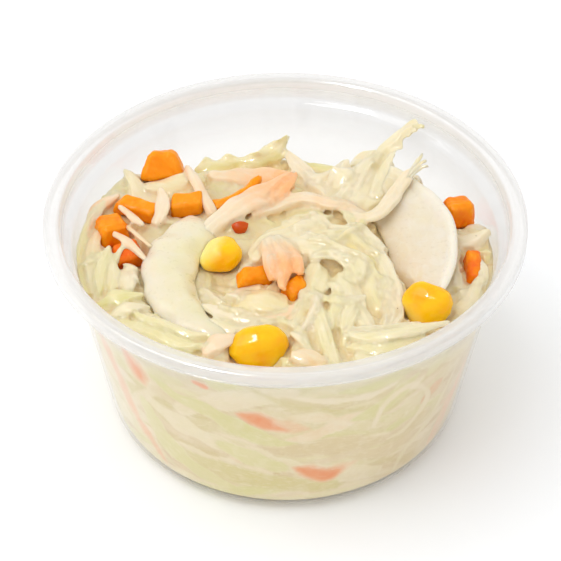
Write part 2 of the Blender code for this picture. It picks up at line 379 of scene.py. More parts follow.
@dataclass(frozen=True)
class CupFinish:
    """Thin clear polypropylene: see-through, with a milky haze that thickens where it turns away."""

    name: str
    tint: Colour = (0.962, 0.953, 0.94)
    haze: Colour = (0.90, 0.895, 0.885)
    haze_least: float = 0.01
    haze_edge: float = 0.45
    shine_least: float = 0.03
    shine_edge: float = 0.5
    rim_haze: float = 0.30
    # film is a grey veil for the far wall above the slaw: painted shade, with a trace of dressing smear.
    film: Colour = (0.45, 0.44, 0.425)
    shade_veil_share: float = 0.12

    def make(self) -> bpy.types.Material:
        """Build the material."""
        g = Graph(self.name)
        at = g.place()
        facing = Socket(g, g.add("ShaderNodeLayerWeight", None, {"Blend": 0.5}).outputs["Facing"])
        smear = g.step(g.noise(g.stretched(at, (1.0, 1.0, 0.35)), 7.0, 3.0, 1.2), 0.45, 0.8)
        fleck = g.step(g.noise(at, 0.55, 1.0), 0.78, 0.84)
        clear = g.shader("ShaderNodeBsdfTransparent", {"Color": self.tint})
        milk = g.principled({"Base Color": self.haze, "Roughness": 0.35, "Coat Weight": 0.0, "IOR": 1.45})
        gloss = g.shader("ShaderNodeBsdfGlossy", {"Color": (0.98, 0.98, 0.98), "Roughness": 0.07})
        cloud = facing**5.0 * self.haze_edge + smear * 0.015 + fleck * 0.02 + self.haze_least
        body = g.mix_shader((cloud + g.mark("thick") * self.rim_haze).clamped(), clear, milk)
        # The grey veil is painted shade on the far wall; the smear adds a little dressing.
        film = g.principled({"Base Color": self.film, "Roughness": 0.4})
        body = g.mix_shader((g.mark("film") * (self.shade_veil_share + smear * 0.03)).clamped(), body, film)
        shine = facing**5.0 * self.shine_edge + g.mark("thick") * 0.05 + self.shine_least
        return g.finish(g.mix_shader(shine.clamped(), body, gloss))


@dataclass(frozen=True)
class SpeckFinish:
    """Ground spice caught in the dressing."""

    name: str
    pale: Colour = (0.30, 0.16, 0.05)
    dark: Colour = (0.12, 0.07, 0.03)

    def make(self) -> bpy.types.Material:
        """Build the material."""
        g = Graph(self.name)
        cloud = g.noise(g.place(), 0.3, 2.0)
        base = g.mix(cloud, self.pale, self.dark)
        return g.finish(g.principled({"Base Color": base, "Roughness": 0.5}))


@dataclass(frozen=True)
class FloorFinish:
    """Matt white table."""

    name: str = "white_table"
    white: Colour = (0.94, 0.955, 0.98)
    cloud: Colour = (0.92, 0.935, 0.96)

    def make(self) -> bpy.types.Material:
        """Build the material."""
        g = Graph(self.name)
        base = g.mix(g.noise(g.place(), 60.0, 2.0) * 0.05, self.white, self.cloud)
        values = {"Base Color": base, "Roughness": 0.9, "Specular IOR Level": 0.1}
        return g.finish(g.principled(values))


# --------------------------------------------------------------- mesh helpers


def soft_step(values: np.ndarray) -> np.ndarray:
    """A soft step from 0 to 1."""
    t = np.clip(values, 0.0, 1.0)
    return t * t * (3.0 - 2.0 * t)


class Wobble:
    """Smooth unevenness of points, between about -1 and 1, the same for the same seed."""

    def __init__(self, seed: int, size_mm: float, waves: int = 9) -> None:
        """Choose the waves.

        Args:
            seed: Seed of the random waves.
            size_mm: Typical length of one swell.
            waves: How many waves are added up.
        """
        rng = np.random.default_rng(seed)
        heading = rng.normal(size=(waves, 3))
        heading /= np.linalg.norm(heading, axis=1)[:, None]
        self.waves = heading * (math.tau / size_mm * rng.uniform(0.6, 1.6, (waves, 1)))
        self.phase = rng.uniform(0.0, math.tau, waves)

    def __call__(self, points: np.ndarray) -> np.ndarray:
        """Unevenness at an array of points whose last axis is x, y, z in millimetres."""
        total = np.sin(points @ self.waves.T + self.phase).sum(axis=-1)
        return total / math.sqrt(len(self.phase) / 2.0) * 0.7


def unit_rows(rows: np.ndarray) -> np.ndarray:
    """Each row drawn out or in to length 1."""
    return rows / (np.linalg.norm(rows, axis=1)[:, None] + 1e-9)


def circle(radius: np.ndarray | float, z: np.ndarray | float, turn: np.ndarray) -> np.ndarray:
    """Points round the cup's axis at the angles turn."""
    return np.stack([radius * np.cos(turn), radius * np.sin(turn), np.broadcast_to(z, turn.shape)], axis=-1)


def run_length(path: np.ndarray) -> np.ndarray:
    """How far along a path each of its points lies."""
    return np.concatenate([[0.0], np.cumsum(np.linalg.norm(np.diff(path, axis=0), axis=1))])


def curve_through(points: np.ndarray, count: int) -> np.ndarray:
    """A smooth curve through points, with even steps.

    Args:
        points: Rows of control values; the first three columns are a place.
        count: How many points to give back.

    Returns:
        The rows of the curve, with the same columns.
    """
    ends = [2 * points[0] - points[1], *points, 2 * points[-1] - points[-2]]
    rows = []
    for a, b, c, d in zip(ends, ends[1:], ends[2:], ends[3:]):
        t = np.linspace(0.0, 1.0, 16, endpoint=False)[:, None]
        rows.append(0.5 * (2 * b + (c - a) * t + (2 * a - 5 * b + 4 * c - d) * t**2
                           + (3 * b - a - 3 * c + d) * t**3))
    dense = np.vstack([*rows, points[-1:]])
    length = run_length(dense[:, :3])
    wanted = np.linspace(0.0, length[-1], count)
    return np.stack([np.interp(wanted, length, column) for column in dense.T], axis=1)


def directions(path: np.ndarray, up: np.ndarray, tilt: np.ndarray) -> tuple[np.ndarray, np.ndarray]:
    """The sideways and outward directions along a path.

    Args:
        path: Points of the path.
        up: The surface's outward direction at each point.
        tilt: How far the strip is rolled about its path, in radians.

    Returns:
        Unit vectors across the strip and away from its face.
    """
    ahead = unit_rows(np.gradient(path, axis=0))
    side = unit_rows(np.cross(ahead, up))
    face = np.cross(side, ahead)
    turn, lean = np.cos(tilt)[:, None], np.sin(tilt)[:, None]
    return side * turn + face * lean, face * turn - side * lean


def dress(
    mesh: bpy.types.Mesh, name: str, finish: bpy.types.Material, marks: dict[str, np.ndarray]
) -> bpy.types.Object:
    """Put a mesh in the scene, smooth and with its material.

    Args:
        mesh: The mesh.
        name: The object's name.
        finish: The material.
        marks: Numbers stored on the points for the material.

    Returns:
        The new object.
    """
    for key, values in marks.items():
        stored = mesh.attributes.new(key, "FLOAT", "POINT")
        stored.data.foreach_set("value", np.asarray(values, dtype=np.float32))
    mesh.materials.clear()
    mesh.materials.append(finish)
    mesh.shade_smooth()
    obj = bpy.data.objects.new(name, mesh)
    bpy.context.scene.collection.objects.link(obj)
    return obj


def make_mesh(
    name: str, points: np.ndarray, faces: list, finish: bpy.types.Material, marks: dict[str, np.ndarray]
) -> bpy.types.Object:
    """A dressed object from points in millimetres and lists of point numbers."""
    mesh = bpy.data.meshes.new(name)
    mesh.from_pydata((points * MM).tolist(), [], faces)
    mesh.validate()
    return dress(mesh, name, finish, marks)


def modified(
    mesh: bpy.types.Mesh, modifiers: Sequence[tuple[str, dict[str, object]]],
    group: np.ndarray | None = None,
) -> bpy.types.Mesh:
    """A mesh with modifiers applied.

    Args:
        mesh: The mesh.
        modifiers: Each modifier's type and settings, in order.
        group: Numbers of the points in the vertex group "group", if a modifier names it.

    Returns:
        The new mesh.
    """
    obj = bpy.data.objects.new("work", mesh)
    bpy.context.scene.collection.objects.link(obj)
    if group is not None:
        obj.vertex_groups.new(name="group").add(group.tolist(), 1.0, "REPLACE")
    for kind, settings in modifiers:
        modifier = obj.modifiers.new(kind.lower(), kind)
        for key, value in settings.items():
            setattr(modifier, key, value)
    bpy.context.view_layer.update()
    result = bpy.data.meshes.new_from_object(obj.evaluated_get(bpy.context.evaluated_depsgraph_get()))
    bpy.data.objects.remove(obj)
    return result


def capped_rings(rings: int, around: int) -> list[list[int]]:
    """Faces of a stack of rings that a middle point closes at either end.

    Args:
        rings: How many rings there are.
        around: Points in each ring.

    Returns:
        The faces; the two middle points are numbered after the rings' points.
    """
    first = np.arange(rings * around).reshape(rings, around)
    after = np.roll(first, -1, axis=1)
    faces = np.stack([first[:-1], first[1:], after[1:], after[:-1]], axis=-1).reshape(-1, 4).tolist()
    faces += [[rings * around, int(a), int(b)] for a, b in zip(first[0], after[0])]
    faces += [[rings * around + 1, int(b), int(a)] for a, b in zip(first[-1], after[-1])]
    return faces


def mesh_points(mesh: bpy.types.Mesh) -> np.ndarray:
    """A mesh's points in millimetres."""
    flat = np.zeros(len(mesh.vertices) * 3)
    mesh.vertices.foreach_get("co", flat)
    return flat.reshape(-1, 3) / MM


MARKS = ("tone", "blush", "shade", "ridge", "along", "across", "seed")


@dataclass
class Bundle:
    """Closed strips gathered into one mesh."""

    sides: int = 8
    flatness: float = 0.9
    squareness: float = 5.0
    grow: float = 0.0
    points: list[np.ndarray] = field(default_factory=list)
    faces: list = field(default_factory=list)
    marks: dict[str, list[np.ndarray]] = field(default_factory=lambda: {key: [] for key in MARKS})
    count: int = 0

    def lay(
        self, path: np.ndarray, side: np.ndarray, face: np.ndarray, width: np.ndarray,
        thick: np.ndarray, rise: np.ndarray | float, marks: dict[str, np.ndarray | float],
    ) -> np.ndarray:
        """Add one strip.

        Args:
            path: Middle line of the strip.
            side: Unit vectors across it.
            face: Unit vectors away from its face.
            width: Full width along the path.
            thick: Full thickness along the path.
            rise: Height added along face, for each path point and ring point.
            marks: Numbers for the material, one for the strip, one a path point, or one a ring point.

        Returns:
            The strip's points, as path points by ring points by x, y, z.
        """
        steps = len(path)
        s, h = self.ring()
        body = side[:, None] * (s[None, :, None] * (width + self.grow)[:, None, None] / 2.0)
        body = body + face[:, None] * (h[None, :] * (thick + self.grow)[:, None] / 2.0 + rise)[:, :, None]
        body = body + path[:, None]
        first = np.arange(steps * self.sides).reshape(steps, self.sides) + self.count
        after = np.roll(first, -1, axis=1)
        quads = np.stack([first[:-1], after[:-1], after[1:], first[1:]], axis=-1).reshape(-1, 4)
        self.faces += quads.tolist() + [first[0, ::-1].tolist(), first[-1].tolist()]
        self.points.append(body.reshape(-1, 3))
        self.count += steps * self.sides
        run = run_length(path)
        given = {"along": run, "across": np.tile(s, (steps, 1)), **marks}
        for key in MARKS:
            value = np.asarray(given.get(key, 0.0), dtype=float)
            if value.ndim == 1:
                value = value[:, None]
            self.marks[key].append(np.broadcast_to(value, (steps, self.sides)).ravel())
        return body

    def ring(self) -> tuple[np.ndarray, np.ndarray]:
        """Places of a ring's points: across from -1 to 1, and through from -1 to 1."""
        half = self.sides // 2
        across = np.sin(np.linspace(-1.0, 1.0, half) * math.pi / 2.0 * self.flatness) / math.sin(
            math.pi / 2.0 * self.flatness)
        through = (1.0 - np.abs(across) ** self.squareness) ** 0.5 * 0.86 + 0.14
        return np.concatenate([across[::-1], across]), np.concatenate([-through[::-1], through])

    def make(self, name: str, finish: bpy.types.Material) -> bpy.types.Object:
        """Turn the strips into one object."""
        marks = {key: np.concatenate(values) for key, values in self.marks.items()}
        return make_mesh(name, np.vstack(self.points), self.faces, finish, marks)


def end_taper(steps: int, share: float, least: float = 0.12) -> np.ndarray:
    """Width factors that round off both ends of a strip over a share of its length."""
    t = np.linspace(0.0, 1.0, steps)
    near = np.clip(np.minimum(t, 1.0 - t) / share, 0.0, 1.0)
    return np.maximum(least, np.sqrt(1.0 - (1.0 - near) ** 2))


def settle(obj: bpy.types.Object, slot: Slot, replaced: Sequence[str] = ()) -> bpy.types.Object:
    """Parent a piece to the body it rides on, hide the frame's nodes it stands for, and log its material
    slot.
    """
    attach(obj, BODY)
    if replaced:
        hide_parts(*replaced)
    log.info("%s: %d faces, slot %s", obj.name, len(obj.data.polygons), slot.value)
    return obj


# ------------------------------------------------------------------ the shapes


@dataclass(frozen=True)
class CupShape:
    """Sizes of the cup, in millimetres, measured off the frame where it gives them."""

    rim_r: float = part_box("cup")[1].x / MM
    height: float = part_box("cup")[1].z / MM
    wall: float = 0.6
    foot_r: float = 28.35
    slope: float = 0.161
    corner_r: float = 3.4
    corner_z: float = 4.0
    ledge_z: float = 33.8
    ledge_rise: float = 0.4
    ledge_r: float = 35.1
    flange_in_r: float = 35.9
    skirt_drop: float = 2.2
    panel_r: float = 22.0
    panel_rise: float = 0.6

    @property
    def corner_centre(self) -> float:
        """Radius of the centre of the rounding between wall and floor."""
        return self.foot_r + self.slope * self.corner_z - self.corner_r * math.hypot(1.0, self.slope)

    def inner_radius(self, z: np.ndarray) -> np.ndarray:
        """Inside radius at heights above the floor."""
        z = np.asarray(z, dtype=float)
        tangent = self.corner_z - self.corner_r * math.sin(math.atan(self.slope))
        drop = np.clip(self.corner_z - z, 0.0, self.corner_r)
        low = self.corner_centre + np.sqrt(np.maximum(self.corner_r**2 - drop**2, 0.0))
        return np.where(z >= tangent, self.foot_r + self.slope * z, low)


@dataclass(frozen=True)
class HeapShape:
    """The uneven top of the slaw, in millimetres."""

    level: float = 29.6
    back_drop: float = 5.0
    back_start: float = 23.5
    back_run: float = 8.0
    back_turn: float = math.radians(75.0)
    bumps: tuple[tuple[float, float, float, float], ...] = (
        (1.5, 5.0, -8.0, 9.0), (-1.6, -9.0, -10.0, 2.6), (0.9, -19.0, 16.0, 4.5))
    front_rise: float = 1.4
    back_fall: float = 2.4
    swirl_hub: tuple[float, float] = (3.0, -6.0)
    packing_least: float = 0.45
    packing_more: float = 1.8
    packing_at: tuple[float, float] = (7.5, -10.0)
    packing_spread: float = 110.0

    def height(self, x: np.ndarray, y: np.ndarray) -> np.ndarray:
        """Height of the slaw's top, which falls away to the back wall."""
        facing = np.cos(np.arctan2(y, x) - self.back_turn)
        away = soft_step((np.hypot(x, y) - self.back_start) / self.back_run)
        return self.crest(x, y) - self.back_drop * away * soft_step((facing - 0.35) / 0.4)

    def packing(self, x: np.ndarray, y: np.ndarray) -> np.ndarray:
        """How much fuller the loose shreds lie, most of all under the folded leaf in the middle."""
        away = (x - self.packing_at[0]) ** 2 + (y - self.packing_at[1]) ** 2
        return self.packing_least + self.packing_more * np.exp(-away / self.packing_spread)

    def crest(self, x: np.ndarray, y: np.ndarray) -> np.ndarray:
        """The level that the large pieces lie on, folded round the swirl's hub."""
        top = self.level + self.front_rise * soft_step((-y - 6.0) / 20.0)
        top = top - self.back_fall * soft_step((y - 8.0) / 22.0)
        for rise, bump_x, bump_y, spread in self.bumps:
            top = top + rise * np.exp(-((x - bump_x) ** 2 + (y - bump_y) ** 2) / (2.0 * spread**2))
        hub_x, hub_y = self.swirl_hub
        around = np.arctan2(y - hub_y, x - hub_x)
        away = np.hypot(y - hub_y, x - hub_x)
        folds = 0.45 * np.sin(5.0 * around + 0.55 * away) + 0.3 * np.sin(9.0 * around - 0.4 * away)
        return top + folds * soft_step(away / 8.0)


CUP = CupShape()
HEAP = HeapShape()


@dataclass
class PortionCup:
    """The clear cup: wall, stacking ledge, flat rim with a turned-down edge, ringed foot."""

    around: int = 256
    shape: CupShape = CUP

    def _arc(self, r: float, z: float, size: float, start: float, end: float, steps: int) -> list:
        """Points of an arc in the section, angles in degrees."""
        angles = np.radians(np.linspace(start, end, steps + 1))
        return [(r + size * math.cos(a), z + size * math.sin(a)) for a in angles]

    @staticmethod
    def _between(a: tuple[float, float], b: tuple[float, float], shares: Sequence[float]) -> list:
        """Points at shares of the way from a to b."""
        return [(a[0] + (b[0] - a[0]) * share, a[1] + (b[1] - a[1]) * share) for share in shares]

    def profile(self) -> list[tuple[float, float]]:
        """The section, from the middle of the floor up the inside and down the outside."""
        c = self.shape
        lean = math.degrees(math.atan(c.slope))
        floor_z = c.corner_z - c.corner_r
        ledge_in = c.foot_r + c.slope * c.ledge_z
        ledge_top = c.ledge_z + c.ledge_rise
        top, under = c.height, c.height - c.wall
        inside = [(0.0, floor_z + c.panel_rise), (c.panel_r - 1.0, floor_z + c.panel_rise)]
        inside += [(c.panel_r - 0.5, floor_z + c.panel_rise - 0.12), (c.panel_r - 0.1, floor_z + 0.1)]
        inside += [(c.panel_r + 0.4, floor_z)]
        inside += self._arc(c.corner_centre, c.corner_z, c.corner_r, -90.0, -lean, 12)
        inside += self._between(inside[-1], (ledge_in, c.ledge_z), (0.2, 0.4, 0.6, 0.8, 0.97))
        inside += [(ledge_in + 0.08, c.ledge_z + 0.02), (c.ledge_r - 0.25, ledge_top - 0.14)]
        inside += [(c.ledge_r - 0.02, ledge_top + 0.12), (c.ledge_r + 0.12, ledge_top + 0.6)]
        inside += [(c.flange_in_r - 0.62, top - 1.3)]
        rim = self._arc(c.flange_in_r + 0.12, top - 0.62, 0.62, 165.0, 80.0, 8)
        rim += [(c.flange_in_r + 0.55, top - 0.10), (c.flange_in_r + 0.85, top - 0.22)]
        rim += [(c.rim_r - 1.05, top - 0.20), (c.rim_r - 0.8, top - 0.06)]
        rim += self._arc(c.rim_r - 0.55, top - 0.55, 0.55, 90.0, 0.0, 8)
        rim += [(c.rim_r - 0.10, top - 1.15), (c.rim_r - 0.10, top - c.skirt_drop + 0.5)]
        rim += self._arc(c.rim_r - 0.26, top - c.skirt_drop + 0.26, 0.26, 0.0, -180.0, 8)
        rim += [(c.rim_r - 0.58, under - 0.5), (c.rim_r - 0.75, under - 0.06), (c.rim_r - 1.0, under)]
        outside = [(c.flange_in_r + 0.45, under), (c.flange_in_r + 0.1, under - 0.25)]
        outside += [(c.flange_in_r - 0.1, under - 0.8), (c.ledge_r + c.wall, ledge_top)]
        outside += [(c.ledge_r + c.wall - 0.1, ledge_top - 0.35), (ledge_in + c.wall, c.ledge_z - 0.5)]
        low = self._arc(c.corner_centre, c.corner_z, c.corner_r + c.wall, -lean, -90.0, 12)
        outside += self._between(outside[-1], low[0], (0.25, 0.5, 0.75))
        outside += low + [(c.panel_r + 0.3, 0.0), (c.panel_r - 0.2, 0.1)]
        outside += [(c.panel_r - 0.7, c.panel_rise - 0.1), (c.panel_r - 1.2, c.panel_rise)]
        return inside + rim + outside + [(0.0, c.panel_rise)]

    def make(self, finish: bpy.types.Material) -> bpy.types.Object:
        """Turn the section round the axis; a grey veil of painted shade lies on the wall above the slaw,
        but not in front.
        """
        section = np.array(self.profile())
        turn = math.tau * np.arange(self.around) / self.around
        rings = section[1:-1]
        points = np.vstack([*(circle(r, z, turn) for r, z in rings),
                            [[0.0, 0.0, section[0, 1]], [0.0, 0.0, section[-1, 1]]]])
        z = points[:, 2]
        # Painted shade: where the grey veil lies on the far wall above the slaw.
        film = soft_step((z - 28.0) / 3.0) * soft_step((points[:, 1] + 22.0) / 16.0)
        marks = {"thick": soft_step((z - self.shape.ledge_z) / 3.0), "film": film * soft_step(37.0 - z)}
        faces = capped_rings(len(rings), self.around)
        return settle(make_mesh("clear_cup", points, faces, finish, marks), Slot.CUP, ["cup"])


@dataclass
class Skyline:
    """How high the slaw stands so far, and how high it may grow under the large pieces."""

    pitch: float = 0.5
    reach: float = 36.0

    def __post_init__(self) -> None:
        """Start with the core's top and no lid."""
        cells = int(2 * self.reach / self.pitch) + 1
        axis = np.linspace(-self.reach, self.reach, cells)
        x, y = np.meshgrid(axis, axis, indexing="ij")
        self.x, self.y = x, y
        self.goal = HEAP.height(x, y) + HEAP.packing(x, y)
        self.top = self.goal - 1.7
        self.lid = np.full_like(self.top, 99.0)
        self.inside = np.hypot(x, y) < CUP.inner_radius(30.0) - 1.2

    def cell(self, xy: np.ndarray) -> tuple[np.ndarray, np.ndarray]:
        """Grid cells of points."""
        cells = np.rint((xy + self.reach) / self.pitch).astype(int)
        cells = np.clip(cells, 0, len(self.top) - 1)
        return cells[..., 0], cells[..., 1]

    def cover(self, body: np.ndarray) -> None:
        """Note that a strip's points now lie there."""
        np.maximum.at(self.top, self.cell(body[..., :2]), body[..., 2])

    def keep_under(self, points: np.ndarray) -> None:
        """Keep loose shreds below a large piece."""
        i, j = self.cell(points[..., :2])
        for di in (-1, 0, 1):
            for dj in (-1, 0, 1):
                cells = (np.clip(i + di, 0, len(self.lid) - 1), np.clip(j + dj, 0, len(self.lid) - 1))
                np.minimum.at(self.lid, cells, points[..., 2])


@dataclass(frozen=True)
class WallStrip:
    """A shred pressed flat against the wall: points are the angle from the front, height and width."""

    points: tuple[tuple[float, float, float], ...]
    tone: float = 0.2
    blush: float = 0.0
    shade: float = 0.0
    soft: float = 0.5
    cover: float = 0.9


@dataclass
class PressedSide:
    """The slaw's side as it shows through the wall: flat shreds, each over the last."""

    turn: np.ndarray
    z: np.ndarray
    count: int = 380
    steps: int = 32
    heights: tuple[float, float] = (0.5, 31.0)
    lengths: tuple[float, float] = (9.0, 34.0)
    widths: tuple[float, float] = (1.2, 4.4)
    lean: float = 0.30
    bend: float = 4.0
    blush_share: float = 0.06
    edge_shade: float = 0.16
    right_shade: float = 0.4

    def __post_init__(self) -> None:
        """Start with a plain cloudy ground."""
        self.radius = CUP.inner_radius(self.z)
        spot = np.stack([np.cos(self.turn) * 31.0, np.sin(self.turn) * 31.0, self.z * 1.6], axis=-1)
        cloud = 0.4 + 0.3 * Wobble(SEED + Draw.SIDE_SHADE, 9.0)(spot)
        self.marks = {
            "tone": 0.35 + 0.25 * Wobble(SEED + Draw.SIDE_TONE, 14.0)(spot),
            "blush": np.zeros_like(self.z),
            "shade": np.clip(cloud, 0.0, 1.0),
            "along": self.turn * 31.0,
            "across": np.sin(self.z * 1.3),
            "seed": np.floor(self.z * 0.6),
        }

    def _near(self, path: np.ndarray, arc: np.ndarray, reach: float) -> tuple[np.ndarray, ...]:
        """Find the part of the side that lies near a path.

        Args:
            path: The path, whose first two columns run round the wall and up.
            arc: How far round the wall each point of the side lies.
            reach: How far from the path to look.

        Returns:
            Which points are near, and for each of them the nearest step of the path and how far it
            lies across and along from there.
        """
        low, high = path.min(axis=0) - reach, path.max(axis=0) + reach
        near = (arc > low[0]) & (arc < high[0]) & (self.z > low[1]) & (self.z < high[1])
        spot = np.stack([arc[near], self.z[near]], axis=-1)
        gap = spot[:, None] - path[None, :, :2]
        nearest = np.argmin((gap**2).sum(axis=-1), axis=1)
        offset = gap[np.arange(len(spot)), nearest]
        tangent = unit_rows(np.gradient(path[:, :2], axis=0))[nearest]
        aside = offset[:, 0] * tangent[:, 1] - offset[:, 1] * tangent[:, 0]
        past = offset[:, 0] * tangent[:, 0] + offset[:, 1] * tangent[:, 1]
        return near, nearest, aside, past

    def press(self, strip: WallStrip, seed: int) -> None:
        """Lay one shred over what already shows.

        Args:
            strip: The shred.
            seed: Seed of its uneven width.
        """
        control = np.array(strip.points, dtype=float)
        radius = CUP.inner_radius(control[:, 1])
        flat = np.column_stack([np.radians(control[:, 0]) * radius, control[:, 1],
                                np.zeros(len(control)), control[:, 2]])
        path = curve_through(flat, self.steps)
        half = path[:, 3] / 2.0 * end_taper(self.steps, 0.3, 0.1)
        half = half * (1.0 + 0.22 * Wobble(seed, 5.0)(path[:, :3]))
        middle = path[:, 0].mean() / radius.mean()
        arc = ((self.turn - middle + math.pi) % math.tau - math.pi + middle) * self.radius
        near, nearest, aside, past = self._near(path, arc, half.max() + strip.soft + 0.8)
        inner = (nearest > 0) & (nearest < self.steps - 1)
        away = np.where(inner, np.abs(aside), np.hypot(aside, past))
        wide = half[nearest]
        cover = soft_step((wide - away) / strip.soft + 0.5) * strip.cover
        edge = soft_step((wide + 0.7 - away) / 0.9) * (1.0 - cover)
        run = run_length(path[:, :2])
        marks = self.marks
        marks["shade"][near] = marks["shade"][near] + self.edge_shade * edge
        for key in ("tone", "blush", "shade"):
            old = marks[key][near]
            marks[key][near] = old + (getattr(strip, key) - old) * cover
        on = cover > 0.35
        values = {"along": run[nearest] + past, "across": aside / np.maximum(wide, 0.1),
                  "seed": np.full(len(nearest), float(seed % 97))}
        for key, value in values.items():
            marks[key][near] = np.where(on, np.clip(value, -40.0, 60.0), marks[key][near])

    def fill(self, strips: Sequence[WallStrip], seed: int) -> None:
        """Press many shreds at random, then the named ones."""
        rng = np.random.default_rng(seed)
        for number in range(self.count):
            angle, z = rng.uniform(-180.0, 180.0), rng.uniform(*self.heights)
            length, width = rng.uniform(*self.lengths), rng.uniform(*self.widths)
            lean, bend = rng.normal(0.0, self.lean), rng.normal(0.0, self.bend)
            across = math.degrees(length * math.cos(lean) / float(CUP.inner_radius(z)))
            climb = length * math.sin(lean)
            points = tuple((angle + across * t, z + climb * t + bend * (t * t - 0.1), width)
                           for t in (-0.5, -0.2, 0.15, 0.5))
            tone = float(np.clip(0.32 + 0.46 * rng.normal(), 0.0, 1.0))
            blush = rng.uniform(0.1, 0.35) if rng.random() < self.blush_share else 0.0
            shade = float(np.clip(rng.normal(0.2, 0.3), 0.0, 0.9))
            self.press(WallStrip(points, tone, blush, shade, rng.uniform(0.25, 0.9), 0.85), seed + number)
        for number, strip in enumerate(strips):
            self.press(strip, seed + 1000 + number)
        angle = np.degrees(self.turn)
        away = soft_step((angle - 20.0) / 40.0) * soft_step((130.0 - angle) / 40.0)
        self.marks["shade"] = np.clip(self.marks["shade"] + self.right_shade * away, 0.0, 1.0)


@dataclass
class PackedSlaw:
    """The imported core: it reaches just into the cup's wall, and its top lies below the loose shreds."""

    strips: tuple[WallStrip, ...] = ()
    around: int = 560
    reach: float = 0.12
    ledge: float = 1.0
    uneven: float = 0.35
    top_rings: int = 12
    side_rings: int = 82

    def _top(self, turn: np.ndarray) -> list[np.ndarray]:
        """Rings of the core's top, from the middle out; in front it meets the wall higher."""
        edge_r = float(CUP.inner_radius(HEAP.level)) + self.reach
        rows = []
        shares = np.linspace(0.0, 1.0, self.top_rings + 1)[1:] ** 0.6
        for share in [*shares[:-1], 1.0 - self.ledge / edge_r, 1.0]:
            x, y = edge_r * share * np.cos(turn), edge_r * share * np.sin(turn)
            front = soft_step((-y - 6.0) / 16.0)
            inward = (1.0 - share) * edge_r - self.ledge * (1.0 - front)
            down = 0.4 - 1.4 * front + (1.9 + 1.4 * front) * soft_step(inward / 2.0)
            spot = np.stack([x, y, np.zeros_like(x)], axis=-1)
            uneven = self.uneven * Wobble(SEED + Draw.CORE_TOP, 5.0)(spot)
            rows.append(np.stack([x, y, HEAP.height(x, y) - down + uneven], axis=-1))
        return rows

    def make(self, finish: bpy.types.Material) -> bpy.types.Object:
        """Build the core."""
        turn = math.tau * np.arange(self.around) / self.around
        rows = self._top(turn)
        rim_z = rows[-1][:, 2]
        rim_r = CUP.inner_radius(rim_z) + self.reach
        rows[-1] = circle(rim_r, rim_z, turn)
        floor_z = CUP.corner_z - CUP.corner_r
        for share in np.linspace(0.0, 1.0, self.side_rings + 1)[1:]:
            z = rim_z + (floor_z + 0.02 - rim_z) * share**0.96
            r = CUP.inner_radius(z) + self.reach * min(1.0, 4.0 * (1.0 - share) + 0.3)
            rows.append(circle(r, z - 0.1 * share**8, turn))
        for r, z in ((CUP.panel_r, floor_z - 0.1), (CUP.panel_r - 0.8, floor_z + CUP.panel_rise - 0.1)):
            rows.append(circle(r, z, turn))
        points = np.vstack([*rows, [[0.0, 0.0, rows[0][:, 2].mean()], [0.0, 0.0, rows[-1][0, 2]]]])
        faces = capped_rings(len(rows), self.around)
        side = PressedSide(np.arctan2(points[:, 0], -points[:, 1]), points[:, 2])
        side.fill(self.strips, SEED + Draw.SIDE)
        return settle(make_mesh("packed_slaw", points, faces, finish, side.marks), Slot.SLAW, ["coleslaw"])


@dataclass(frozen=True)
class Strip:
    """One cut strip or leaf on top of the slaw: points are x, y, lift over the heap, and width."""

    points: tuple[tuple[float, float, float, float], ...]
    thick: float = 0.8
    crown: float = 0.25
    tilt: float = 0.0
    frill: float = 0.12
    tone: tuple[float, float] = (0.12, 0.12)
    blush: tuple[float, float] = (0.0, 0.0)
    shade: float = 0.0
    fray: float = 0.08
    crinkle: float = 0.10
    sink: float = 0.3
    groove: float = 0.08
    ribs: float = 6.0


def keep_in_wall(body: np.ndarray, gap: float = 0.05) -> np.ndarray:
    """Draw points in that would pass the inside of the wall."""
    radius = np.hypot(body[..., 0], body[..., 1])
    most = CUP.inner_radius(body[..., 2]) - gap
    body[..., :2] *= np.minimum(1.0, most / np.maximum(radius, 1e-6))[..., None]
    return body


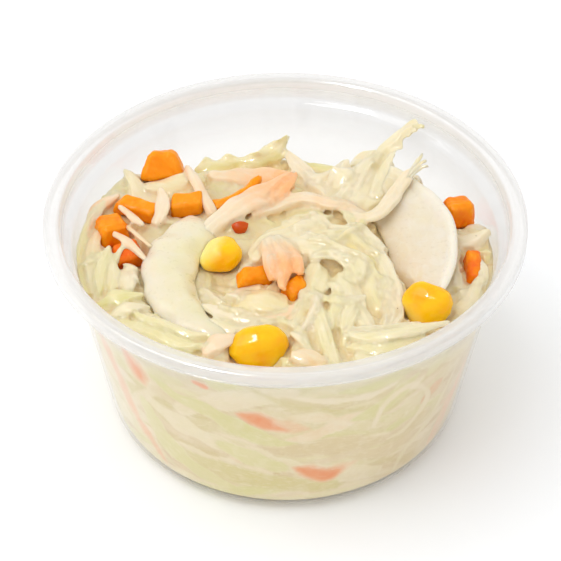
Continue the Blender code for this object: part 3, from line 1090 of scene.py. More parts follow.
@dataclass
class StripSet:
    """Strips and leaves of one kind, laid where they show."""

    name: str
    strips: tuple[Strip, ...]
    steps: int = 44
    bare: bool = True
    points: list[np.ndarray] = field(default_factory=list)

    @staticmethod
    def _edge_wobble(s: np.ndarray, edges: np.ndarray, seed: int, size: float) -> np.ndarray:
        """Unevenness along a strip that differs between its two edges."""
        left, right = Wobble(seed, size)(edges), Wobble(seed + 1, size)(edges)
        return np.where(s[None, :] > 0, left[:, None], right[:, None])

    def _lay(self, bundle: Bundle, strip: Strip, seed: int) -> None:
        """Add one strip to the bundle."""
        control = np.array(strip.points, dtype=float)
        control[:, 2] += HEAP.crest(control[:, 0], control[:, 1])
        path = curve_through(control, self.steps)
        width = path[:, 3] * end_taper(self.steps, 0.08, 0.3)
        line = path[:, :3]
        t = np.linspace(0.0, 1.0, self.steps)
        uneven = Wobble(seed, 7.0)(line)
        side, face = directions(line, UP, np.radians(strip.tilt + 10.0 * uneven))
        s, _ = bundle.ring()
        run = np.linspace(0.0, len(control) * 4.0, self.steps)
        edges = np.stack([run, np.full_like(run, 3.0), np.zeros_like(run)], axis=-1)
        ragged = 1.0 + strip.fray * self._edge_wobble(s, edges, seed + 1, 5.0)
        frill = strip.frill * self._edge_wobble(s, edges, seed + 3, 6.0) * np.abs(s) ** 2
        groove = strip.groove * np.cos(s[None, :] * strip.ribs + 1.3 * uneven[:, None])
        rise = strip.crown * (1.0 - s[None, :] ** 2) + frill + groove - strip.sink
        thick = strip.thick * end_taper(self.steps, 0.06, 0.35)
        marks = {
            "tone": strip.tone[0] + (strip.tone[1] - strip.tone[0]) * t,
            "blush": strip.blush[0] + (strip.blush[1] - strip.blush[0]) * t,
            "shade": strip.shade,
            "seed": seed % 97,
        }
        body = bundle.lay(line, side, face, width, thick, rise, marks)
        body += side[:, None] * ((ragged - 1.0) * s * width[:, None] / 2.0)[:, :, None]
        body += face[:, None] * (strip.crinkle * Wobble(seed + 5, 7.0)(body))[:, :, None]
        bundle.points[-1] = keep_in_wall(body).reshape(-1, 3)
        self.points.append(body)

    def lay(self, bundle: Bundle, seed: int) -> None:
        """Lay the whole set."""
        for number, strip in enumerate(self.strips):
            self._lay(bundle, strip, seed + 13 * number)
        log.info("%s: %d strips", self.name, len(self.strips))


@dataclass
class BigSlices:
    """The crescent on the left and the wide dished slice on the right, which make the swirl."""

    rib_hub: tuple[float, float] = (-5.4, -7.1)
    rib_out: float = 17.2
    rib_width: float = 8.8
    rib_thick: float = 2.6
    rib_z: float = 31.0
    rib_turn: tuple[float, float] = (120.0, 259.0)
    slice_hub: tuple[float, float] = (8.0, -2.0)
    slice_out: float = 19.3
    slice_stretch: float = 3.0
    slice_in: float = 8.5
    slice_thick: float = 1.8
    slice_z: float = 31.0
    slice_dish: float = 1.6
    slice_turn: tuple[float, float] = (-47.0, 64.0)
    steps: int = 110
    points: list[np.ndarray] = field(default_factory=list)

    def _sweep(self, start: float, end: float) -> tuple[np.ndarray, np.ndarray, np.ndarray]:
        """Shares of the way, angles and directions outwards along a turn given in degrees."""
        t = np.linspace(0.0, 1.0, self.steps)
        turn = np.radians(start + (end - start) * t)
        return t, turn, circle(1.0, 0.0, turn)

    def _roughen(self, bundle: Bundle, body: np.ndarray, out: np.ndarray,
                 swells: tuple[tuple[float, float], tuple[float, float]], seed: int) -> None:
        """Make a slice a little uneven.

        Args:
            bundle: The bundle that holds the slice.
            body: The slice's points.
            out: The direction away from the hub at each step.
            swells: Depth and length of the swells outwards, and of those upwards.
            seed: Seed of the swells.
        """
        (out_depth, out_size), (up_depth, up_size) = swells
        body += out[:, None] * (out_depth * Wobble(seed, out_size)(body))[:, :, None]
        body[..., 2] += up_depth * Wobble(seed + 1, up_size)(body)
        bundle.points[-1] = body.reshape(-1, 3)
        self.points.append(body)

    def rib(self, finish: bpy.types.Material) -> bpy.types.Object:
        """The crescent, widest in the middle of its turn."""
        bundle = Bundle(sides=36, squareness=2.6)
        t, _, out = self._sweep(*self.rib_turn)
        width = self.rib_width * (0.25 + 0.75 * np.sin(math.pi * (0.16 + 0.84 * t) ** 0.9) ** 0.7)
        thick = self.rib_thick * (0.5 + 0.5 * np.sin(math.pi * t) ** 0.6)
        hub = np.array([*self.rib_hub, self.rib_z])
        path = hub + out * (self.rib_out - width / 2.0)[:, None]
        up = np.tile(UP, (self.steps, 1))
        s, _ = bundle.ring()
        ends = end_taper(self.steps, 0.05, 0.2)
        rise = 0.9 * (1.0 - s[None, :] ** 2) * np.sin(math.pi * t[:, None]) ** 0.5
        inward = (1.0 - s[None, :]) / 2.0 * np.ones((self.steps, 1))
        # The outer edge gets the pale dressing colour, partly painted light, and the inner edge painted
        # shade; the inner side is also greener and one end carrot-stained.
        marks = {"tone": 0.06 + 0.75 * inward, "seed": 3.0, "ridge": 0.9 * soft_step(0.35 - inward),
                 "shade": 0.30 * soft_step((inward - 0.6) / 0.4),
                 "blush": 0.30 * soft_step((0.25 - t[:, None]) / 0.25) * np.ones_like(inward)}
        body = bundle.lay(path, out, up, width * ends, thick * ends, rise, marks)
        self._roughen(bundle, body, out, ((0.22, 6.0), (0.16, 5.0)), SEED + Draw.CRESCENT)
        return settle(bundle.make("crescent_slice", finish), Slot.PALE, ["cabbage_rib"])

    def dished(self, finish: bpy.types.Material) -> bpy.types.Object:
        """The wide slice, dished towards the middle, with a thick outer rim."""
        bundle = Bundle(sides=48, squareness=7.0)
        t, turn, out = self._sweep(*self.slice_turn)
        reach = self.slice_out + self.slice_stretch * np.abs(np.sin(turn)) ** 2.2
        narrow = 0.35 * (1.0 - np.sin(math.pi * t) ** 0.5) + 0.5 * (1.0 - soft_step(t / 0.2))
        inner = self.slice_in + (reach - self.slice_in) * narrow
        up = np.tile(UP, (self.steps, 1))
        hub = np.array([*self.slice_hub, self.slice_z])
        path = hub + out * ((reach + inner) / 2.0)[:, None]
        s, _ = bundle.ring()
        share = (s[None, :] + 1.0) / 2.0 * np.ones((self.steps, 1))
        rise = self.slice_dish * share**1.6 + 0.5 * soft_step((share - 0.80) / 0.12)
        rise = rise - 0.9 * soft_step((0.3 - share) / 0.3)
        ends = end_taper(self.steps, 0.03, 0.5)
        # Painted shade, darkest at the inner edge towards the front and at the tip; the outer rim gets the
        # pale dressing colour, partly painted light.
        low = soft_step((0.7 - t[:, None]) / 0.7)
        tip = soft_step((t[:, None] - 0.78) / 0.2)
        deep = (0.5 + 0.45 * low) * (1.0 - share) ** 0.8 + 0.25 * tip
        marks = {"tone": 0.02 + 0.25 * (1.0 - share) + 0.75 * tip, "shade": deep,
                 "seed": 7.0, "along": share * 14.0, "ridge": 0.9 * soft_step((share - 0.80) / 0.1),
                 "across": (t[:, None] - 0.5) * 1.7 * np.ones_like(share)}
        thick = self.slice_thick * ends
        body = bundle.lay(path, out, up, reach - inner, thick, rise, marks)
        self._roughen(bundle, body, out, ((0.18, 8.0), (0.14, 6.0)), SEED + Draw.DISHED)
        return settle(bundle.make("dished_slice", finish), Slot.PALE, ["cabbage_slice"])


@dataclass
class CutPieces:
    """Carrot and corn: each node's own solid, made fine, softened and roughened."""

    voxel: float = 0.24
    carrot_soften: int = 1
    carrot_dents: tuple[tuple[float, float], ...] = ((3.2, 0.10), (1.2, 0.04))
    corn_soften: int = 14
    corn_dents: tuple[tuple[float, float], ...] = ((5.0, 0.14),)
    pale_spread: float = 6.0
    points: list[np.ndarray] = field(default_factory=list)

    def _shape(
        self, node: str, soften: int, dents: Sequence[tuple[float, float]], seed: int
    ) -> tuple[bpy.types.Mesh, np.ndarray]:
        """A node's solid made fine and soft, with swells along its normals.

        Args:
            node: The node.
            soften: How many times it is smoothed.
            dents: Each swell's length and depth, in millimetres.
            seed: Seed of the swells.

        Returns:
            The mesh, and its points in millimetres.
        """
        mesh = modified(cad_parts[node].data.copy(), (
            ("REMESH", {"mode": "VOXEL", "voxel_size": self.voxel * MM}),
            ("SMOOTH", {"factor": 0.5, "iterations": soften}),
        ))
        points = mesh_points(mesh)
        normals = np.zeros(points.size)
        mesh.vertices.foreach_get("normal", normals)
        normals = normals.reshape(-1, 3)
        for number, (size, depth) in enumerate(dents):
            points = points + normals * (depth * Wobble(seed + number, size)(points))[:, None]
        mesh.vertices.foreach_set("co", (points * MM).ravel())
        self.points.append(points)
        return mesh, points

    def carrot(self, node: str, finish: bpy.types.Material, seed: int, dark: float) -> None:
        """One cut piece of carrot."""
        mesh, points = self._shape(node, self.carrot_soften, self.carrot_dents, seed)
        marks = {"dark": np.full(len(points), dark)}
        settle(dress(mesh, node + "_cut", finish, marks), Slot.CARROT, [node])

    def kernel(self, node: str, finish: bpy.types.Material, seed: int, pale: Colour, reach: float) -> None:
        """One corn kernel, pale on the side that pale points to."""
        mesh, points = self._shape(node, self.corn_soften, self.corn_dents, seed)
        middle = (points.max(axis=0) + points.min(axis=0)) / 2.0
        toward = (points - middle) @ np.array(pale) / (np.linalg.norm(pale) * self.pale_spread)
        marks = {"pale": np.clip(0.5 + (toward - reach), 0.0, 1.0)}
        settle(dress(mesh, node + "_kernel", finish, marks), Slot.CORN, [node])


@dataclass
class LooseShreds:
    """Cut shreds laid one by one on the core, each draped over what is already there.

    Those that lie on top may be laid anywhere; the others go where the slaw stands lowest.
    """

    name: str
    count: int
    tone: tuple[float, float]
    width: tuple[float, float] = (1.0, 3.0)
    length: tuple[float, float] = (8.0, 26.0)
    blush_share: float = 0.12
    thick: tuple[float, float] = (0.4, 0.75)
    steps: int = 22
    heading_spread: float = 0.65
    bend_spread: float = 0.06
    lean_spread: float = 0.12
    rest_at: float = 0.36
    tries: int = 24
    on_top: bool = False

    def _path(self, rng: np.random.Generator, start: np.ndarray, width: float) -> np.ndarray:
        """A bent path on the table plane that follows the swirl and stays inside the wall."""
        length = rng.uniform(*self.length)
        out = start - np.array(HEAP.swirl_hub)
        heading = math.atan2(out[1], out[0]) + math.pi / 2 + rng.normal(0.0, self.heading_spread)
        bend = rng.normal(1.0 / max(9.0, np.hypot(*out)), self.bend_spread)
        t = np.linspace(-0.5, 0.5, self.steps)
        angle = heading + bend * length * t + 0.25 * np.sin(t * rng.uniform(4.0, 10.0) + rng.uniform(0, 6))
        stride = length / (self.steps - 1)
        path = np.cumsum(np.stack([np.cos(angle), np.sin(angle)], axis=-1) * stride, axis=0)
        path += start - path[self.steps // 2]
        most = float(CUP.inner_radius(30.0)) - 0.35 - width * 0.42
        radius = np.hypot(path[:, 0], path[:, 1])
        return path * np.minimum(1.0, most / np.maximum(radius, 1e-6))[:, None]

    def _drape(self, sky: Skyline, path: np.ndarray, width: float, thick: float) -> tuple:
        """Heights and tilt of a strip that lies on the skyline."""
        ahead = unit_rows(np.gradient(path, axis=0))
        side = np.stack([ahead[:, 1], -ahead[:, 0]], axis=-1)
        under = [sky.top[sky.cell(path + side * width * s)] for s in (-self.rest_at, 0.0, self.rest_at)]
        z = np.maximum(under[1], (under[0] + under[2]) / 2.0)
        z = np.maximum(z, (np.roll(z, 1) + np.roll(z, -1)) / 2.0)
        z[0], z[-1] = z[1], z[-2]
        for _ in range(3):
            z[1:-1] = 0.25 * z[:-2] + 0.5 * z[1:-1] + 0.25 * z[2:]
        if self.on_top:
            z = z - thick * 0.35
        else:
            z = np.minimum(z + thick * 0.45, sky.goal[sky.cell(path)] + 0.1)
        lid = sky.lid[sky.cell(path)]
        z = np.minimum(z, lid - thick * 0.5 - 0.15)
        tilt = np.arctan2(under[2] - under[0], width * (2.0 * self.rest_at))
        tilt = np.clip(np.convolve(np.pad(tilt, 2, mode="edge"), np.ones(5) / 5.0, "valid"), -0.9, 0.9)
        return z, tilt

    def lay(self, bundle: Bundle, sky: Skyline, seed: int) -> None:
        """Lay the shreds one by one."""
        rng = np.random.default_rng(seed)
        s, _ = bundle.ring()
        inside = np.argwhere(sky.inside)
        for number in range(self.count):
            some = inside[rng.integers(0, len(inside), self.tries)]
            cells = (some[:, 0], some[:, 1])
            lack = np.minimum(sky.goal[cells], sky.lid[cells]) - sky.top[cells]
            if self.on_top:
                lack = np.zeros_like(lack)
            i, j = some[np.argmax(lack + rng.uniform(0.0, 0.5, len(lack)))]
            start = np.array([sky.x[i, j], sky.y[i, j]])
            width = rng.uniform(*self.width)
            thick = rng.uniform(*self.thick)
            path = self._path(rng, start, width)
            z, tilt = self._drape(sky, path, width, thick)
            line = np.column_stack([path, z])
            tilt = tilt + rng.normal(0.0, self.lean_spread)
            side, face = directions(line, UP, tilt)
            taper = end_taper(self.steps, rng.uniform(0.15, 0.4), 0.2)
            crown = rng.uniform(-0.15, 0.3)
            blush = rng.uniform(0.15, 0.5) if rng.random() < self.blush_share else 0.0
            marks = {
                "tone": rng.uniform(*self.tone) + rng.uniform(-0.25, 0.25) * np.linspace(-1, 1, self.steps),
                "blush": blush * np.linspace(0.4, 1.0, self.steps),
                "shade": 0.35 * (1.0 - number / self.count) * rng.random(),
                "seed": number % 97,
            }
            body = bundle.lay(line, side, face, width * taper, thick * taper ** 0.5,
                              crown * (1.0 - s[None, :] ** 2), marks)
            bundle.points[-1] = keep_in_wall(body).reshape(-1, 3)
            sky.cover(body)
        log.info("%s: %d shreds", self.name, self.count)


@dataclass
class DressedTop:
    """The cut cabbage on top, run together by its dressing into one skin.

    Every strip is laid a little fuller, a fine grid is wrapped round them all and drawn in again,
    which fills the narrow gaps as the dressing does. The strips' marks are then carried over.
    """

    voxel: float = 0.25
    grow: float = 0.34
    soften: int = 2
    most_triangles: int = 185_000
    buried_below: float = 2.9
    floor_z: float = 18.5
    core_around: int = 200
    core_rings: int = 56
    core_inset: float = 0.9
    core_below: float = 1.05
    nearest: int = 5
    nearest_blur: float = 0.03
    # Depth at which a hollow's painted shade is darkest, and rise above the surroundings at which a ridge's
    # pale dressing colour, partly painted light, is full.
    hollow_shade_depth: float = 1.6
    pale_ridge: float = 0.9

    def __post_init__(self) -> None:
        """Start with no strips; leaves have finer rings than shreds."""
        self.leaves = Bundle(sides=30, grow=self.grow)
        self.shreds = Bundle(sides=12, grow=self.grow)

    def add_core(self) -> None:
        """Add the low core that the strips lie on."""
        turn = math.tau * np.arange(self.core_around) / self.core_around
        rows = []
        for share in np.linspace(0.0, 1.0, self.core_rings + 1)[1:]:
            reach = (float(CUP.inner_radius(HEAP.level)) - self.core_inset) * share
            x, y = reach * np.cos(turn), reach * np.sin(turn)
            z = HEAP.height(x, y) + HEAP.packing(x, y) - self.core_below
            z = z + 0.3 * Wobble(SEED + Draw.SKIN_CORE, 3.0)(np.stack([x, y, x * 0.0], axis=-1))
            rows.append(keep_in_wall(np.stack([x, y, z], axis=-1), 0.5))
        low = rows[-1].copy()
        low[:, 2] = self.floor_z
        rows.append(keep_in_wall(low, 0.5))
        points = np.vstack([*rows, [[0.0, 0.0, rows[0][:, 2].mean()], [0.0, 0.0, self.floor_z]]])
        bundle = self.shreds
        shell = capped_rings(len(rows), self.core_around)
        bundle.faces += [[n + bundle.count for n in face] for face in shell]
        bundle.points.append(points)
        bundle.count += len(points)
        values = {
            "tone": 0.4 + 0.3 * Wobble(SEED + Draw.SKIN_TONE, 6.0)(points),
            "shade": np.full(len(points), 0.4),
            "along": points[:, 0],
            "across": np.sin(points[:, 1] * 1.4) * 0.6,
        }
        for key in MARKS:
            bundle.marks[key].append(values.get(key, np.zeros(len(points))))

    def _source(self) -> np.ndarray:
        """Every strip's points."""
        return np.vstack(self.leaves.points + self.shreds.points)

    def _wrapped(self) -> bpy.types.Mesh:
        """The fine skin round every strip, drawn in and softened."""
        mesh = bpy.data.meshes.new("skin_source")
        faces = self.leaves.faces + [[n + self.leaves.count for n in face] for face in self.shreds.faces]
        mesh.from_pydata((self._source() * MM).tolist(), [], faces)
        return modified(mesh, (
            ("REMESH", {"mode": "VOXEL", "voxel_size": self.voxel * MM}),
            ("DISPLACE", {"mid_level": 0.0, "strength": -self.grow / 2.0 * MM}),
            ("SMOOTH", {"factor": 0.5, "iterations": self.soften}),
        ))

    def _thinned(self, mesh: bpy.types.Mesh) -> bpy.types.Mesh:
        """The skin with coarse faces where it is buried, and few enough in all."""
        points = mesh_points(mesh)
        buried = points[:, 2] < HEAP.height(points[:, 0], points[:, 1]) - self.buried_below
        ratio = max(0.05, 1.0 - 0.96 * float(buried.mean()))
        group = np.flatnonzero(buried)
        thin = modified(mesh, (("DECIMATE", {"ratio": ratio, "vertex_group": "group"}),), group)
        thin.calc_loop_triangles()
        share = self.most_triangles / len(thin.loop_triangles)
        return modified(thin, (("DECIMATE", {"ratio": min(1.0, share)}),))

    def _carried(self, points: np.ndarray) -> dict[str, np.ndarray]:
        """The marks of the nearest strips' points, for each point of the skin."""
        source = self._source()
        given = {key: np.concatenate(self.leaves.marks[key] + self.shreds.marks[key]) for key in MARKS}
        tree = KDTree(len(source))
        for number, place in enumerate(source):
            tree.insert(place, number)
        tree.balance()
        near = np.empty((len(points), self.nearest), dtype=int)
        away = np.empty((len(points), self.nearest))
        for number, place in enumerate(points):
            found = tree.find_n(place, self.nearest)
            near[number] = [hit[1] for hit in found]
            away[number] = [hit[2] for hit in found]
        weight = 1.0 / (away**2 + self.nearest_blur)
        same = given["seed"][near] == given["seed"][near[:, :1]]
        marks = {}
        for key, values in given.items():
            share = weight * same if key in ("along", "across", "seed") else weight
            marks[key] = (values[near] * share).sum(axis=1) / share.sum(axis=1)
        return marks

    @staticmethod
    def _hollows(points: np.ndarray, blur_mm: float = 1.4) -> np.ndarray:
        """How far each point lies below (positive) or above the top round about, in millimetres."""
        pitch, reach = Skyline.pitch, Skyline.reach
        cells = int(2 * reach / pitch) + 1
        i, j = (np.rint((points[:, k] + reach) / pitch).astype(int).clip(0, cells - 1) for k in (0, 1))
        top = np.full((cells, cells), -99.0)
        np.maximum.at(top, (i, j), points[:, 2])
        known = (top > -90.0).astype(float)
        top = np.where(known > 0, top, 0.0)
        offset = np.arange(-8, 9) * pitch
        kernel = np.exp(-0.5 * (offset / blur_mm) ** 2)
        for axis in (0, 1):
            top = np.apply_along_axis(np.convolve, axis, top, kernel, "same")
            known = np.apply_along_axis(np.convolve, axis, known, kernel, "same")
        return (top / np.maximum(known, 1e-6))[i, j] - points[:, 2]

    def make(self, finish: bpy.types.Material) -> bpy.types.Object:
        """Build the skin, with painted shade in its hollows (less at the back wall) and painted light on
        its ridges.
        """
        mesh = self._thinned(self._wrapped())
        points = mesh_points(mesh)
        marks = self._carried(points)
        hollow = self._hollows(points)
        # Painted shade in the hollows, lighter at the back wall.
        at_back = soft_step((np.hypot(points[:, 0], points[:, 1]) - 24.0) / 4.0)
        at_back = at_back * soft_step((points[:, 1] - 6.0) / 6.0)
        painted_hollow_shade = np.clip(hollow / self.hollow_shade_depth, 0.0, 0.8) * (1.0 - 0.8 * at_back)
        marks["shade"] = np.clip(marks["shade"] * (1.0 - 0.5 * at_back) + painted_hollow_shade, 0.0, 1.0)
        # Raised parts get the pale dressing colour: partly dressing, partly painted light.
        marks["ridge"] = np.clip(marks["ridge"] - hollow / self.pale_ridge, 0.0, 1.0)
        return settle(dress(mesh, "cut_cabbage", finish, marks), Slot.PALE)


@dataclass
class Specks:
    """Small round bits scattered on the top."""

    name: str
    count: int
    size: tuple[float, float]
    sink: float = 0.175
    rings: int = 5
    sides: int = 8

    def _ball(self) -> np.ndarray:
        """Points of a ball of radius 1."""
        polar = np.linspace(0.0, math.pi, self.rings + 2)[1:-1]
        turn = math.tau * np.arange(self.sides) / self.sides
        unit = np.stack([np.outer(np.sin(polar), np.cos(turn)), np.outer(np.sin(polar), np.sin(turn)),
                         np.outer(np.cos(polar), np.ones(self.sides))], axis=-1).reshape(-1, 3)
        return np.vstack([unit, [[0, 0, 1], [0, 0, -1]]])

    def make(self, finish: bpy.types.Material, sky: Skyline, seed: int) -> bpy.types.Object:
        """Set the specks on the skyline."""
        rng = np.random.default_rng(seed)
        ball, shell = self._ball(), capped_rings(self.rings, self.sides)
        inside = np.argwhere(sky.inside)
        points, faces = [], []
        for number in range(self.count):
            i, j = inside[rng.integers(0, len(inside))]
            size = rng.uniform(*self.size)
            stretch = np.array([rng.uniform(0.8, 1.5), rng.uniform(0.8, 1.3), rng.uniform(0.5, 0.8)])
            place = np.array([sky.x[i, j], sky.y[i, j], sky.top[i, j] - size * self.sink])
            faces += [[n + number * len(ball) for n in face] for face in shell]
            points.append(ball * stretch * size / 2.0 + place)
        return settle(make_mesh(self.name, np.vstack(points), faces, finish, {}), Slot.SLAW)


# ------------------------------------------------------- where each piece lies

RIBBED = {"groove": 0.12, "ribs": 8.0}
VEINED = {"groove": 0.14, "ribs": 9.0}

